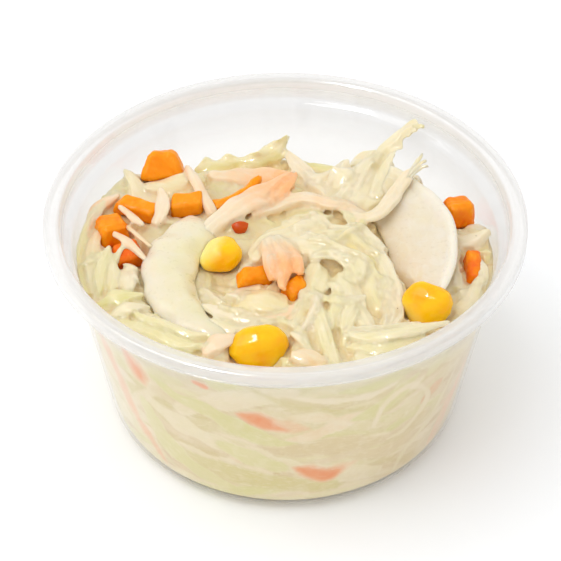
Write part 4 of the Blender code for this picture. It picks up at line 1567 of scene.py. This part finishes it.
STRIP_SETS = (
    StripSet("pale_core_pieces", (
        Strip(((-27.0, 19.0, 2.4, 0.6), (-25.5, 16.5, 2.0, 1.8), (-23.5, 13.0, 1.2, 3.0),
               (-21.0, 10.5, 0.6, 3.4)), tone=(0.45, 0.15)),
        Strip(((-23.5, 15.2, 0.8, 3.2), (-20.0, 15.0, 1.1, 3.8), (-16.5, 16.0, 1.1, 3.8),
               (-13.5, 18.0, 0.8, 2.8)), thick=1.6, tone=(0.2, 0.5), shade=0.1),
        Strip(((-7.0, -13.5, 1.0, 4.0), (-3.5, -15.5, 1.3, 5.6), (0.5, -16.0, 1.0, 4.0)),
              thick=1.4, tone=(0.5, 0.5), shade=0.35),
        Strip(((-8.0, -14.5, 1.6, 3.0), (-6.0, -11.5, 1.9, 4.0), (-3.5, -11.5, 1.6, 3.0)),
              blush=(0.2, 0.3)),
    )),
    StripSet("pink_strips", (
        Strip(((-16.5, 19.0, 3.0, 1.0), (-15.0, 14.5, 3.0, 1.8), (-13.0, 10.0, 2.8, 2.1),
               (-11.5, 6.5, 1.6, 1.6)), thick=0.9, tone=(0.0, 0.0), blush=(0.36, 0.42), crinkle=0.05),
        Strip(((-20.5, 12.5, 3.0, 0.9), (-20.0, 9.5, 2.9, 2.2), (-20.0, 6.5, 2.4, 2.5),
               (-21.0, 4.0, 1.2, 1.6)), thick=0.9, tone=(0.0, 0.0), blush=(0.34, 0.34), crinkle=0.05),
        Strip(((-27.0, 7.5, 3.4, 0.8), (-24.5, 4.5, 3.6, 1.5), (-22.5, 2.5, 3.0, 0.8)), thick=0.6,
              tone=(0.0, 0.0), blush=(0.46, 0.4)),
        Strip(((-27.5, 0.5, 3.0, 0.8), (-25.0, -1.5, 3.5, 1.5), (-21.5, -5.0, 2.4, 0.8)), thick=0.6,
              tone=(0.0, 0.0), blush=(0.6, 0.4)),
        Strip(((-4.5, 6.0, 2.4, 1.2), (-1.5, 8.5, 2.6, 2.0), (2.5, 10.5, 2.6, 2.5), (6.5, 9.5, 2.4, 2.6),
               (10.0, 8.0, 2.2, 2.4), (13.5, 5.5, 1.6, 1.4)), thick=1.0, tone=(0.0, 0.0),
              blush=(0.34, 0.38), **RIBBED),
        Strip(((-31.0, 1.0, 1.0, 1.2), (-31.3, 4.5, 1.6, 2.2), (-30.0, 8.5, 2.4, 2.2),
               (-27.0, 11.5, 2.2, 0.8)), tone=(0.1, 0.1), blush=(0.55, 0.4), thick=0.7),
    )),
    StripSet("peach_leaf", (
        Strip(((-13.5, 1.0, 2.0, 2.5), (-11.0, 4.0, 2.4, 3.4), (-7.5, 7.0, 2.8, 4.6),
               (-4.0, 10.5, 2.8, 5.0), (1.0, 16.5, 3.2, 0.9)), crown=0.6, tone=(0.0, 0.0),
              blush=(0.16, 0.85), frill=0.3, **RIBBED),
        Strip(((-13.0, 18.5, 1.2, 2.0), (-8.5, 19.0, 1.5, 4.0), (-4.0, 19.0, 1.8, 4.5),
               (1.0, 19.5, 2.4, 1.5)), tone=(0.1, 0.0), blush=(0.35, 0.7), shade=0.1),
        Strip(((-5.5, 5.5, 2.0, 1.2), (-3.5, 8.5, 2.6, 2.2), (0.0, 12.5, 3.0, 2.2), (2.0, 17.0, 3.2, 0.7)),
              tone=(0.0, 0.0), blush=(0.45, 1.0)),
    )),
    StripSet("green_leaf", (
        Strip(((-15.5, 22.5, 0.8, 2.0), (-12.5, 23.0, 1.2, 3.5), (-8.0, 24.0, 1.3, 3.6),
               (-4.0, 24.0, 1.8, 3.5), (-1.0, 25.5, 3.2, 2.6), (0.5, 26.5, 5.0, 1.0)),
              thick=0.7, frill=0.6, fray=0.35, tone=(0.85, 0.8), tilt=-35.0, shade=0.15),
        Strip(((1.0, 23.5, 1.0, 1.6), (5.0, 23.0, 1.1, 2.0), (10.0, 21.0, 1.2, 1.6)), tone=(0.9, 0.7)),
        Strip(((3.5, 18.5, 1.8, 2.2), (6.5, 17.0, 2.2, 2.4), (10.0, 20.5, 2.6, 1.6)), tone=(0.05, 0.1)),
    )),
    StripSet("curved_strand", (
        Strip(((-0.5, 26.0, 2.4, 1.2), (3.0, 20.5, 2.2, 3.0), (6.5, 14.5, 2.0, 3.0), (9.5, 8.5, 2.0, 3.0),
               (12.6, 4.8, 2.6, 3.0), (15.8, 6.0, 3.4, 2.8), (18.2, 10.8, 4.7, 2.7),
               (20.0, 13.4, 5.6, 2.3), (21.4, 14.5, 6.1, 1.0)), thick=0.7, crown=0.35,
              tone=(0.05, 0.15), blush=(0.2, 0.3), crinkle=0.08, **RIBBED),
    )),
    StripSet("wispy_leaf", (
        Strip(((10.5, 6.5, 1.4, 6.0), (12.0, 11.5, 1.9, 9.5), (13.5, 17.0, 2.4, 11.0),
               (14.5, 22.5, 3.2, 8.0), (15.5, 25.0, 3.6, 4.0)), thick=0.8, crown=0.6, frill=0.9,
              fray=0.3, tone=(0.12, 0.35), crinkle=0.35, groove=0.2, ribs=9.0),
        Strip(((9.0, 10.0, 2.6, 1.6), (11.4, 14.5, 3.3, 2.6), (13.6, 19.0, 3.9, 2.4),
               (15.8, 22.6, 4.6, 1.2)), thick=0.6, tone=(0.1, 0.2), frill=0.4, groove=0.1),
        Strip(((14.6, 10.0, 2.8, 1.8), (16.0, 14.0, 3.5, 2.6), (16.8, 18.5, 4.1, 2.0),
               (18.2, 22.0, 5.2, 1.0)), thick=0.6, tone=(0.2, 0.4), frill=0.5, groove=0.1),
        Strip(((14.0, 18.5, 3.0, 4.4), (16.8, 22.6, 4.9, 3.6), (19.0, 24.2, 6.4, 2.7),
               (20.8, 24.9, 7.8, 2.5), (22.4, 24.6, 8.7, 2.9)), thick=0.5, fray=0.3, tone=(0.25, 0.4),
              tilt=-15.0, groove=0.2, ribs=6.0, frill=0.5),
        Strip(((7.5, 14.5, 1.8, 2.4), (9.0, 17.0, 2.6, 3.0), (10.0, 21.5, 3.2, 2.0)), thick=0.7,
              tone=(0.1, 0.25), tilt=25.0, frill=0.5),
    )),
    StripSet("centre_leaf", (
        Strip(((-5.0, -5.5, 0.8, 3.0), (-2.0, -1.5, 2.0, 6.0), (3.0, -0.6, 2.6, 7.0), (8.0, -2.0, 2.7, 7.0),
               (11.5, -5.5, 2.3, 7.5), (13.5, -11.5, 1.2, 5.0)), thick=0.9, crown=0.8, frill=0.5,
              fray=0.2, tone=(0.25, 0.35), crinkle=0.15, groove=0.16, ribs=9.0),
        Strip(((-1.5, -2.5, 2.4, 3.0), (3.0, -3.6, 3.0, 4.4), (7.5, -5.0, 3.2, 4.4), (10.5, -8.5, 2.9, 4.0),
               (11.0, -13.0, 1.8, 3.0)), thick=0.8, crown=0.5, frill=0.4, fray=0.2, tone=(0.15, 0.45),
              **RIBBED),
        Strip(((3.5, -7.0, 2.4, 1.6), (7.0, -6.2, 3.0, 2.6), (10.8, -7.0, 3.3, 3.4),
               (13.0, -11.0, 2.9, 4.2),
               (14.5, -17.5, 1.4, 3.2)), thick=0.7, crown=0.4, frill=0.5, fray=0.3, tone=(0.3, 0.45),
              groove=0.14, ribs=8.0),
        Strip(((9.6, -3.5, 3.0, 0.9), (10.8, -5.4, 3.3, 1.7), (11.4, -7.2, 3.1, 1.1)), tone=(1.0, 1.0),
              shade=0.35, thick=0.7),
        Strip(((12.5, -6.0, 3.2, 0.9), (13.2, -8.3, 3.4, 1.6), (13.4, -9.8, 3.0, 1.0)), tone=(1.0, 1.0),
              shade=0.3, thick=0.7),
        Strip(((5.0, -7.5, 2.0, 3.4), (4.5, -12.5, 2.0, 4.6), (3.0, -18.0, 1.4, 2.6)), crown=0.6,
              tone=(0.4, 0.3), groove=0.14, ribs=8.0),
        Strip(((8.6, -9.5, 2.0, 3.6), (9.4, -15.0, 2.0, 5.0), (11.0, -21.0, 1.4, 2.6)), crown=0.6,
              tone=(0.35, 0.3), frill=0.4, groove=0.14, ribs=8.0),
        Strip(((14.5, -10.0, 1.6, 2.6), (16.4, -14.5, 1.5, 3.4), (16.0, -19.5, 1.2, 2.4)), crown=0.4,
              tone=(0.2, 0.1), blush=(0.05, 0.25), shade=0.2),
        Strip(((-3.5, 2.0, 1.4, 1.4), (2.0, 3.6, 1.9, 2.0), (8.0, 2.8, 2.0, 1.8), (12.0, 0.0, 1.8, 1.2)),
              tone=(0.2, 0.3), frill=0.3),
        Strip(((11.6, 2.4, 2.6, 1.6), (13.6, -2.4, 2.9, 2.4), (15.0, -7.4, 2.7, 3.2),
               (16.2, -13.2, 2.3, 3.6),
               (16.4, -18.8, 1.8, 3.0), (15.2, -23.2, 1.5, 1.2)), thick=0.6, tone=(0.3, 0.1),
              blush=(0.0, 0.25), **RIBBED, crown=0.3),
        Strip(((6.0, -3.5, 2.9, 1.3), (9.0, -1.5, 3.0, 1.6), (10.5, 2.5, 2.8, 1.2), (9.5, 6.0, 2.7, 0.8)),
              thick=0.6, tone=(0.35, 0.45), frill=0.3),
        Strip(((1.0, 1.0, 2.8, 2.0), (6.0, 1.4, 3.1, 2.4), (10.5, -0.8, 3.0, 2.2), (13.2, -4.5, 2.3, 1.6)),
              thick=0.6, tone=(0.15, 0.3), frill=0.35),
    ), steps=60, bare=False),
    StripSet("peach_fan", (
        Strip(((-3.5, -1.5, 2.8, 1.6), (-2.6, -5.0, 3.4, 2.4), (-2.2, -9.0, 3.5, 2.4),
               (-2.0, -12.5, 2.9, 0.9)),
              tone=(0.1, 0.0), blush=(0.25, 1.0), sink=0.1, crown=0.35),
        Strip(((-2.5, -1.0, 2.9, 1.8), (-1.2, -5.0, 3.6, 2.6), (-0.2, -9.5, 3.7, 2.6),
               (-0.6, -14.6, 2.7, 1.1)),
              tone=(0.1, 0.0), blush=(0.2, 1.1), sink=0.1, crown=0.35),
        Strip(((-1.5, -1.0, 2.8, 1.6), (0.6, -5.0, 3.3, 2.4), (1.9, -9.0, 3.4, 2.0),
               (2.4, -12.0, 2.9, 0.8)),
              tone=(0.15, 0.0), blush=(0.15, 0.95), sink=0.1, crown=0.35),
        Strip(((-2.3, -7.0, 3.6, 0.8), (-1.4, -11.0, 3.8, 1.1), (0.0, -15.0, 2.8, 0.6)), thick=0.6,
              tone=(0.0, 0.0), blush=(0.4, 1.0), sink=0.1),
    )),
    StripSet("front_strands", (
        Strip(((4.8, -15.5, 1.8, 1.0), (5.4, -21.0, 2.0, 2.2), (6.3, -25.0, 1.8, 2.5),
               (7.4, -29.6, 1.2, 1.8)),
              tone=(0.45, 0.4), crown=0.4, thick=0.7, **VEINED),
        Strip(((5.0, -15.0, 2.4, 0.8), (4.3, -18.8, 2.5, 1.5), (2.6, -22.6, 2.0, 0.7)), thick=0.6,
              tone=(0.1, 0.1)),
        Strip(((2.6, -14.8, 1.8, 0.8), (2.2, -18.4, 2.0, 1.6), (0.8, -22.0, 1.6, 0.8)), thick=0.6,
              tone=(0.35, 0.3)),
        Strip(((11.2, -16.4, 2.4, 0.8), (9.6, -20.0, 2.3, 2.2), (8.5, -25.4, 1.6, 0.8)), thick=0.6,
              tone=(0.25, 0.45), frill=0.3, **RIBBED),
        Strip(((11.2, -16.6, 2.5, 0.8), (12.2, -20.8, 2.4, 2.6), (13.8, -24.0, 1.8, 0.8)), thick=0.6,
              tone=(0.2, 0.3), frill=0.3, **RIBBED),
        Strip(((8.4, -14.0, 2.0, 1.0), (7.4, -18.5, 2.0, 2.0), (7.0, -22.5, 1.5, 0.7)), thick=0.6,
              tone=(0.55, 0.5)),
        Strip(((15.9, -13.6, 2.0, 1.2), (15.6, -18.0, 2.0, 2.0), (14.8, -22.6, 1.7, 0.8)), thick=0.7,
              tone=(0.15, 0.2), blush=(0.1, 0.2)),
        Strip(((-13.0, -15.5, 1.6, 1.0), (-9.0, -18.0, 1.8, 2.6), (-4.5, -19.5, 1.8, 2.8),
               (0.0, -18.5, 1.7, 2.0), (2.6, -15.2, 1.6, 0.8)), tone=(0.1, 0.0), blush=(0.05, 0.5),
              thick=0.7, **RIBBED),
        Strip(((-12.0, -19.0, 1.4, 1.0), (-7.5, -21.2, 1.6, 2.4), (-2.5, -21.6, 1.4, 0.8)), thick=0.7,
              tone=(0.35, 0.3)),
        Strip(((-10.0, -16.5, 1.5, 0.8), (-6.0, -19.0, 1.8, 1.3), (-1.5, -20.6, 1.5, 0.6)), thick=0.5,
              tone=(0.15, 0.2)),
        Strip(((-1.0, -19.5, 1.5, 0.8), (1.5, -21.5, 1.6, 1.6), (3.5, -25.5, 1.4, 0.8)), thick=0.6,
              tone=(0.45, 0.4)),
        Strip(((0.5, -23.0, 1.5, 0.7), (2.5, -24.5, 1.6, 1.4), (4.6, -27.6, 1.3, 0.7)), thick=0.6,
              tone=(0.3, 0.3)),
    ), bare=False),
    StripSet("edge_strips", (
        Strip(((-30.5, -11.5, 0.8, 1.6), (-32.0, -6.4, 1.0, 2.2), (-32.1, -0.9, 1.4, 2.2),
               (-31.4, 4.0, 1.8, 1.9), (-29.6, 9.0, 2.2, 0.7)), tone=(0.7, 0.5), tilt=-35.0, thick=0.6,
              groove=0.12, ribs=9.0),
        Strip(((-28.6, -13.0, 1.0, 1.2), (-30.2, -7.0, 1.4, 2.0), (-30.4, -1.6, 1.6, 2.0),
               (-29.6, 3.6, 1.6, 0.9)), tone=(0.4, 0.2), blush=(0.0, 0.5), thick=0.6),
        Strip(((-28.7, -12.4, 1.6, 0.8), (-28.8, -7.0, 2.0, 1.9), (-27.8, -1.7, 2.0, 1.0)), thick=0.6,
              tone=(0.75, 0.5), **VEINED),
        Strip(((-26.9, -13.0, 1.6, 0.8), (-26.7, -8.5, 2.0, 1.7), (-27.2, -3.7, 2.0, 0.8)), thick=0.6,
              tone=(0.55, 0.3)),
        Strip(((-24.8, -5.6, 1.6, 2.2), (-24.5, -9.5, 2.0, 2.9), (-24.3, -12.6, 1.6, 1.6)), thick=1.1,
              tone=(0.1, 0.2), crown=0.3),
        Strip(((-29.2, -14.8, 1.2, 1.0), (-25.7, -14.0, 2.0, 3.0), (-21.6, -13.2, 1.4, 0.7)), thick=0.6,
              tone=(1.0, 0.8), frill=0.35, crown=0.4),
        Strip(((-27.0, -18.4, 1.2, 1.2), (-24.0, -17.0, 2.0, 2.8), (-20.4, -16.0, 1.4, 0.7)), thick=0.6,
              tone=(0.35, 0.2), frill=0.4),
        Strip(((-26.0, -18.5, 1.0, 1.0), (-20.5, -21.8, 1.6, 2.2), (-15.5, -25.0, 1.6, 2.0),
               (-10.8, -25.8, 1.2, 0.6)), tone=(0.55, 0.65), thick=0.6, **VEINED),
        Strip(((-23.0, -18.0, 1.4, 0.8), (-19.5, -20.2, 1.8, 1.8), (-15.0, -22.8, 1.6, 1.6),
               (-11.0, -23.6, 1.2, 0.6)), tone=(0.75, 0.5), thick=0.6),
        Strip(((-25.8, -20.0, 0.8, 0.8), (-20.8, -24.1, 1.2, 2.2), (-15.4, -27.2, 1.2, 2.0),
               (-11.0, -28.6, 0.8, 0.8)), tone=(0.75, 0.75), thick=0.6, frill=0.3),
        Strip(((-25.5, 3.2, 2.8, 0.7), (-23.5, 0.5, 3.1, 1.1), (-21.0, -2.0, 2.6, 0.7)), thick=0.5,
              tone=(0.4, 0.4), blush=(0.55, 0.35)),
        Strip(((-26.5, -5.5, 2.2, 0.6), (-26.2, -3.0, 2.6, 0.9), (-25.4, -1.0, 2.4, 0.6)), thick=0.5,
              tone=(0.5, 0.5)),
    ), bare=False),
    StripSet("front_rim_strips", (
        Strip(((-12.3, -27.4, 1.2, 1.4), (-10.2, -25.6, 1.8, 3.4), (-7.0, -24.2, 1.8, 1.8)),
              tone=(0.1, 0.0), blush=(0.45, 0.4), crown=0.4, thick=0.8),
        Strip(((0.6, -27.6, 1.4, 2.0), (3.0, -28.0, 1.8, 3.2), (6.0, -28.8, 1.2, 1.6)), tone=(0.3, 0.2),
              blush=(0.42, 0.35), crown=0.5),
        Strip(((-9.5, -28.6, 0.8, 1.4), (-4.0, -29.8, 1.0, 2.0), (1.0, -29.8, 1.0, 1.4)), tone=(0.3, 0.3),
              blush=(0.35, 0.3)),
        Strip(((8.3, -23.0, 1.6, 1.0), (13.0, -24.3, 2.2, 2.8), (18.4, -24.0, 2.7, 2.4),
               (24.8, -21.2, 2.8, 0.6)), tone=(0.5, 0.4), thick=0.7, tilt=12.0, crown=0.4, groove=0.12,
              ribs=9.0),
        Strip(((9.0, -22.4, 1.9, 0.7), (14.5, -23.0, 2.7, 1.2), (20.5, -21.8, 2.8, 0.6)), thick=0.5,
              tone=(0.2, 0.2)),
        Strip(((9.0, -25.4, 1.4, 1.0), (14.0, -26.2, 1.6, 3.0), (19.0, -25.0, 1.7, 2.2),
               (23.5, -22.5, 1.4, 0.7)), tone=(0.5, 0.5), thick=0.7),
        Strip(((10.0, -27.2, 1.2, 1.4), (13.5, -28.2, 1.2, 2.6), (17.5, -26.8, 1.0, 1.0)), thick=0.7,
              tone=(0.4, 0.3)),
    )),
    StripSet("side_strips", (
        Strip(((26.0, 2.5, 0.6, 2.4), (29.5, 1.5, 1.2, 2.8), (33.0, 2.5, 2.2, 0.8)), tone=(0.1, 0.2),
              thick=1.2),
        Strip(((27.0, -11.0, 0.6, 2.4), (28.5, -13.5, 0.4, 3.0), (30.0, -10.5, 0.6, 1.8)), tone=(0.1, 0.2)),
        Strip(((30.5, -3.0, 0.8, 1.0), (31.0, -6.5, 1.0, 1.8), (30.5, -10.0, 0.6, 1.4)), tone=(0.2, 0.3)),
        Strip(((25.5, -15.5, 0.6, 2.0), (28.0, -14.0, 0.8, 2.6), (30.5, -8.0, 0.8, 1.6)), tone=(0.3, 0.2)),
    )),
)

WISPS = StripSet("fine_wisps", (
    Strip(((19.8, 12.7, 5.2, 0.3), (21.2, 13.9, 5.9, 1.0), (22.3, 14.6, 6.2, 0.8), (23.2, 14.8, 6.4, 0.3)),
          thick=0.35, tone=(0.05, 0.15), blush=(0.12, 0.0), sink=0.0),
    Strip(((19.6, 12.9, 5.2, 0.3), (20.9, 14.2, 5.9, 0.9), (21.9, 15.4, 6.4, 0.8), (22.6, 16.4, 6.9, 0.25)),
          thick=0.35, tone=(0.05, 0.15), blush=(0.12, 0.0), sink=0.0),
    Strip(((20.4, 12.7, 5.3, 0.3), (21.6, 13.6, 5.8, 0.6), (22.6, 13.9, 6.0, 0.5), (23.4, 13.7, 6.1, 0.2)),
          thick=0.3, tone=(0.05, 0.15), blush=(0.1, 0.0), sink=0.0),
    Strip(((21.4, 24.7, 8.2, 0.5), (22.6, 24.2, 8.7, 1.1), (23.3, 23.8, 8.8, 0.5)), thick=0.35,
          tone=(0.3, 0.3), sink=0.0),
), steps=24)

CARROT_DOT = StripSet("carrot_dot", (
    Strip(((-8.3, 3.0, 1.2, 1.0), (-7.3, 3.2, 1.6, 2.0), (-6.3, 3.4, 1.2, 1.0)), thick=1.6, crown=0.5),
), steps=16)

WALL_STRIPS = (
    WallStrip(((-66.0, 30.5, 2.4), (-60.0, 25.0, 3.8), (-55.5, 19.5, 3.0), (-52.0, 12.5, 3.6),
               (-45.0, 7.5, 3.0), (-40.0, 3.0, 2.0)), tone=0.1, blush=0.62, soft=2.6),
    WallStrip(((-49.0, 30.5, 3.0), (-44.5, 26.5, 4.4), (-41.5, 22.5, 2.4)), blush=0.5, soft=2.4),
    WallStrip(((-47.5, 29.0, 1.4), (-44.5, 26.2, 2.2), (-42.4, 23.8, 1.2)), blush=0.8, soft=2.0),
    WallStrip(((-25.0, 30.0, 1.6), (-20.0, 29.2, 1.2)), blush=0.9, soft=1.0),
    WallStrip(((-13.5, 24.2, 2.6), (-7.0, 23.2, 5.2), (-1.0, 22.2, 4.6), (7.0, 21.2, 2.2)),
              blush=0.5, soft=2.6),
    WallStrip(((-13.0, 24.6, 1.0), (-8.0, 23.6, 2.8), (-3.5, 22.0, 2.8), (0.0, 21.2, 1.0)),
              blush=0.88, soft=2.2),
    WallStrip(((0.0, 24.6, 1.2), (8.0, 24.0, 2.6), (14.0, 23.0, 1.6)), blush=0.3, soft=1.0),
    WallStrip(((1.5, 11.6, 2.0), (9.0, 9.8, 4.6), (15.0, 9.4, 4.6), (22.0, 11.0, 2.0)),
              blush=0.5, soft=2.6),
    WallStrip(((3.0, 11.2, 0.8), (8.0, 9.6, 2.6), (12.0, 8.4, 2.8), (17.0, 9.6, 1.2)),
              blush=0.9, soft=2.2),
    WallStrip(((50.0, 28.6, 1.6), (45.0, 27.4, 3.4), (41.0, 25.4, 2.0)), tone=0.9, blush=0.12),
    WallStrip(((50.0, 21.4, 1.6), (45.5, 20.2, 2.6), (41.5, 18.6, 1.6)), tone=0.3, blush=0.5,
              shade=0.5),
    WallStrip(((68.0, 20.0, 1.6), (62.0, 13.0, 2.6), (58.0, 6.5, 2.0), (54.0, 3.0, 1.2)), blush=0.55),
    WallStrip(((60.0, 14.0, 1.4), (55.0, 8.0, 2.2), (52.0, 3.0, 1.2)), blush=0.5),
    WallStrip(((-39.0, 27.3, 2.0), (-31.0, 24.5, 2.6), (-22.0, 23.7, 3.0), (-12.0, 20.5, 3.4),
               (-3.0, 18.0, 2.6), (4.0, 17.5, 1.6)), tone=0.95),
    WallStrip(((-45.0, 19.3, 3.0), (-39.0, 11.2, 4.0), (-29.0, 6.8, 3.6), (-14.0, 4.0, 2.0)),
              tone=0.85),
    WallStrip(((-20.0, 16.0, 3.0), (-8.0, 13.0, 4.0), (1.0, 10.6, 2.6)), tone=0.8),
    WallStrip(((38.0, 27.8, 2.4), (31.0, 24.6, 3.8), (25.0, 22.6, 3.4), (18.0, 21.8, 2.0)),
              tone=0.95),
    WallStrip(((0.0, 29.6, 1.0), (12.0, 27.6, 1.4), (23.0, 27.0, 1.4), (31.0, 28.0, 0.8)), tone=0.0),
    WallStrip(((30.0, 14.0, 3.0), (13.0, 16.3, 4.4), (-2.0, 15.8, 3.0)), tone=0.3, shade=0.55),
    WallStrip(((19.0, 12.5, 2.4), (33.0, 10.4, 3.0), (45.0, 11.3, 2.2)), tone=0.2, shade=0.5),
    WallStrip(((25.0, 17.5, 1.0), (28.0, 23.6, 1.2), (36.0, 25.2, 1.2), (44.0, 19.5, 1.2),
               (38.0, 14.4, 1.2), (30.0, 13.4, 1.0)), tone=0.05),
    WallStrip(((36.0, 3.0, 1.0), (40.0, 8.0, 1.2), (50.0, 13.0, 1.4), (57.0, 21.0, 1.2)), tone=0.3),
)

CARROT_DARKNESS = {
    "carrot_wedge": -0.1, "carrot_block": -0.15, "carrot_stick": -0.05, "carrot_chunk": 0.05,
    "carrot_dark": 0.4, "carrot_curl": -0.1, "carrot_dice": 0.12, "carrot_side": 0.25,
    "carrot_shard": 0.0, "carrot_tip": 0.0,
}


KERNELS = (
    ("corn_left", (-1.0, 0.4, 0.4), 0.18),
    ("corn_right", (-1.0, -0.9, -0.3), 0.52),
    ("corn_front", (1.0, -1.2, -0.8), 0.62),
)

LOW_SHREDS = (
    (LooseShreds("green_shreds", 220, (0.5, 1.0), (1.0, 3.0)), Draw.GREEN_SHREDS),
    (LooseShreds("cream_shreds", 420, (0.0, 0.45), (0.9, 3.4)), Draw.CREAM_SHREDS),
)

THIN_SHREDS = LooseShreds("thin_shreds", 55, (0.0, 0.7), (0.6, 1.6), (4.0, 11.0),
                          thick=(0.3, 0.5), on_top=True)

CABBAGE_FINISHES = (
    CabbageFinish(
        "packed_cabbage", vein=1.0, relief_mm=0.07, cream=(0.87, 0.76, 0.54), green=(0.72, 0.67, 0.29),
        deep=(0.66, 0.49, 0.23), dressing=(0.93, 0.84, 0.66), dressing_share=0.45,
        peach=(0.86, 0.27, 0.07), translucence=0.2),
    CabbageFinish("pale_leaf"),
    CabbageFinish(
        "smooth_slice", cream=(0.79, 0.71, 0.565), green=(0.73, 0.68, 0.37), deep=(0.82, 0.68, 0.40),
        dressing=(0.82, 0.77, 0.67), vein=0.25, dressing_share=0.4, gloss=0.3, relief_mm=0.07,
        translucence=0.6, translucence_mm=1.6),
    CabbageFinish(
        "pale_slice", cream=(0.77, 0.715, 0.60), green=(0.72, 0.67, 0.37), deep=(0.74, 0.56, 0.35),
        dressing=(0.83, 0.80, 0.71), vein=0.5, dressing_share=0.5, gloss=0.3, relief_mm=0.08,
        translucence=0.6, translucence_mm=1.6),
)

DOT_FINISH = CarrotFinish("deep_carrot", (0.56, 0.085, 0.004), (0.48, 0.055, 0.002), (0.72, 0.12, 0.01))


# ------------------------------------------------------------------ the studio


@dataclass(frozen=True)
class Lamp:
    """A square lamp that faces the cup: place and size in metres, power in watts."""

    name: str
    place: tuple[float, float, float]
    size: float
    power: float
    gloss_only: bool = False

    def make(self) -> None:
        """Hang the lamp."""
        data = bpy.data.lights.new(self.name, "AREA")
        data.size = self.size
        data.energy = self.power
        lamp = bpy.data.objects.new(self.name, data)
        lamp.location = self.place
        lamp.rotation_euler = (-Vector(self.place)).to_track_quat("-Z", "Y").to_euler()
        lamp.visible_diffuse = not self.gloss_only
        bpy.context.scene.collection.objects.link(lamp)


@dataclass
class Studio:
    """White table, soft light from the upper left, and the camera."""

    distance: float = 304.0
    rise_deg: float = 41.0
    aim: tuple[float, float, float] = (-0.76, 0.0, 23.256)
    lens: float = 120.32
    sensor: float = 36.0
    clip_m: tuple[float, float] = (0.01, 20.0)
    table_half: float = 2500.0
    sky_level: float = 0.955
    lamps: tuple[Lamp, ...] = (
        Lamp("key", (-0.55, -0.05, 0.80), 0.55, 2.0),
        Lamp("fill", (-0.22, -0.30, 0.85), 0.20, 0.8),
        Lamp("sparkle", (-0.30, -0.20, 0.85), 0.17, 4.0, gloss_only=True),
    )

    def table(self) -> None:
        """The floor."""
        corners = ((-1, -1), (1, -1), (1, 1), (-1, 1))
        points = np.array([[self.table_half * x, self.table_half * y, 0.0] for x, y in corners])
        make_mesh("table", points, [[0, 1, 2, 3]], FloorFinish().make(), {})

    def lights(self) -> None:
        """A large soft key, a fill, a small lamp for sparkle, and an even white surround."""
        world = bpy.data.worlds.new("white_surround")
        world.use_nodes = True
        world.node_tree.nodes["Background"].inputs[0].default_value = (1.0, 1.0, 1.0, 1.0)
        world.node_tree.nodes["Background"].inputs[1].default_value = self.sky_level
        bpy.context.scene.world = world
        for lamp in self.lamps:
            lamp.make()

    def camera(self) -> None:
        """The camera, above and in front."""
        rise = math.radians(self.rise_deg)
        aim = Vector(self.aim) * MM
        back = Vector((0.0, -math.cos(rise), math.sin(rise)))
        data = bpy.data.cameras.new("camera")
        data.lens = self.lens
        data.sensor_width = self.sensor
        data.clip_start, data.clip_end = self.clip_m
        camera = bpy.data.objects.new("camera", data)
        camera.location = aim + back * self.distance * MM
        camera.rotation_euler = (math.radians(90.0 - self.rise_deg), 0.0, 0.0)
        bpy.context.scene.collection.objects.link(camera)
        bpy.context.scene.camera = camera

    def make(self) -> None:
        """Set the whole studio up."""
        self.table()
        self.lights()
        self.camera()
        bpy.context.scene.view_settings.view_transform = "Standard"


def build_top(sky: Skyline, large: Sequence[np.ndarray]) -> DressedTop:
    """Lay every strip, leaf and shred on the core.

    Args:
        sky: The skyline, which keeps what is laid.
        large: Points of the large pieces, which loose shreds stay under.

    Returns:
        The cut cabbage, ready to be made.
    """
    top = DressedTop()
    top.add_core()
    for body in large:
        sky.keep_under(body)
    large_lid = sky.lid.copy()
    for number, strips in enumerate(STRIP_SETS):
        strips.lay(top.leaves, SEED + Draw.STRIPS + 50 * number)
        for body in strips.points:
            sky.keep_under(body)
    for shreds, draw in LOW_SHREDS:
        shreds.lay(top.shreds, sky, SEED + draw)
    sky.lid = large_lid
    for strips in STRIP_SETS:
        for body in strips.points:
            sky.cover(body)
            if strips.bare:
                sky.keep_under(body)
    THIN_SHREDS.lay(top.shreds, sky, SEED + Draw.THIN_SHREDS)
    return top


def main() -> None:
    """Build and dress every piece in order."""
    logging.basicConfig(level=logging.INFO, format="%(name)s: %(message)s")
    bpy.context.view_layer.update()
    Studio().make()
    PortionCup().make(CupFinish("clear_plastic").make())
    packed, leaf, smooth, pale = (finish.make() for finish in CABBAGE_FINISHES)
    PackedSlaw(WALL_STRIPS).make(packed)

    sky = Skyline()
    slices = BigSlices()
    slices.rib(smooth)
    slices.dished(pale)
    pieces = CutPieces()
    carrot = CarrotFinish("cut_carrot").make()
    for number, (node, dark) in enumerate(CARROT_DARKNESS.items()):
        pieces.carrot(node, carrot, SEED + Draw.CARROT + 5 * number, dark)
    corn = CornFinish("corn_skin").make()
    for number, (node, toward_pale, reach) in enumerate(KERNELS):
        pieces.kernel(node, corn, SEED + Draw.CORN + number, toward_pale, reach)

    build_top(sky, slices.points + pieces.points).make(leaf)
    dot = Bundle(sides=28, squareness=2.0)
    CARROT_DOT.lay(dot, SEED + Draw.DOT)
    settle(dot.make("carrot_dot", DOT_FINISH.make()), Slot.CARROT)
    wisps = Bundle(sides=10)
    WISPS.lay(wisps, SEED + Draw.WISPS)
    settle(wisps.make("fine_wisps", leaf), Slot.PALE)
    Specks("spice_specks", 6, (0.12, 0.2)).make(SpeckFinish("spice").make(), sky, SEED + Draw.SPECKS)


if __name__ == "__main__":
    main()
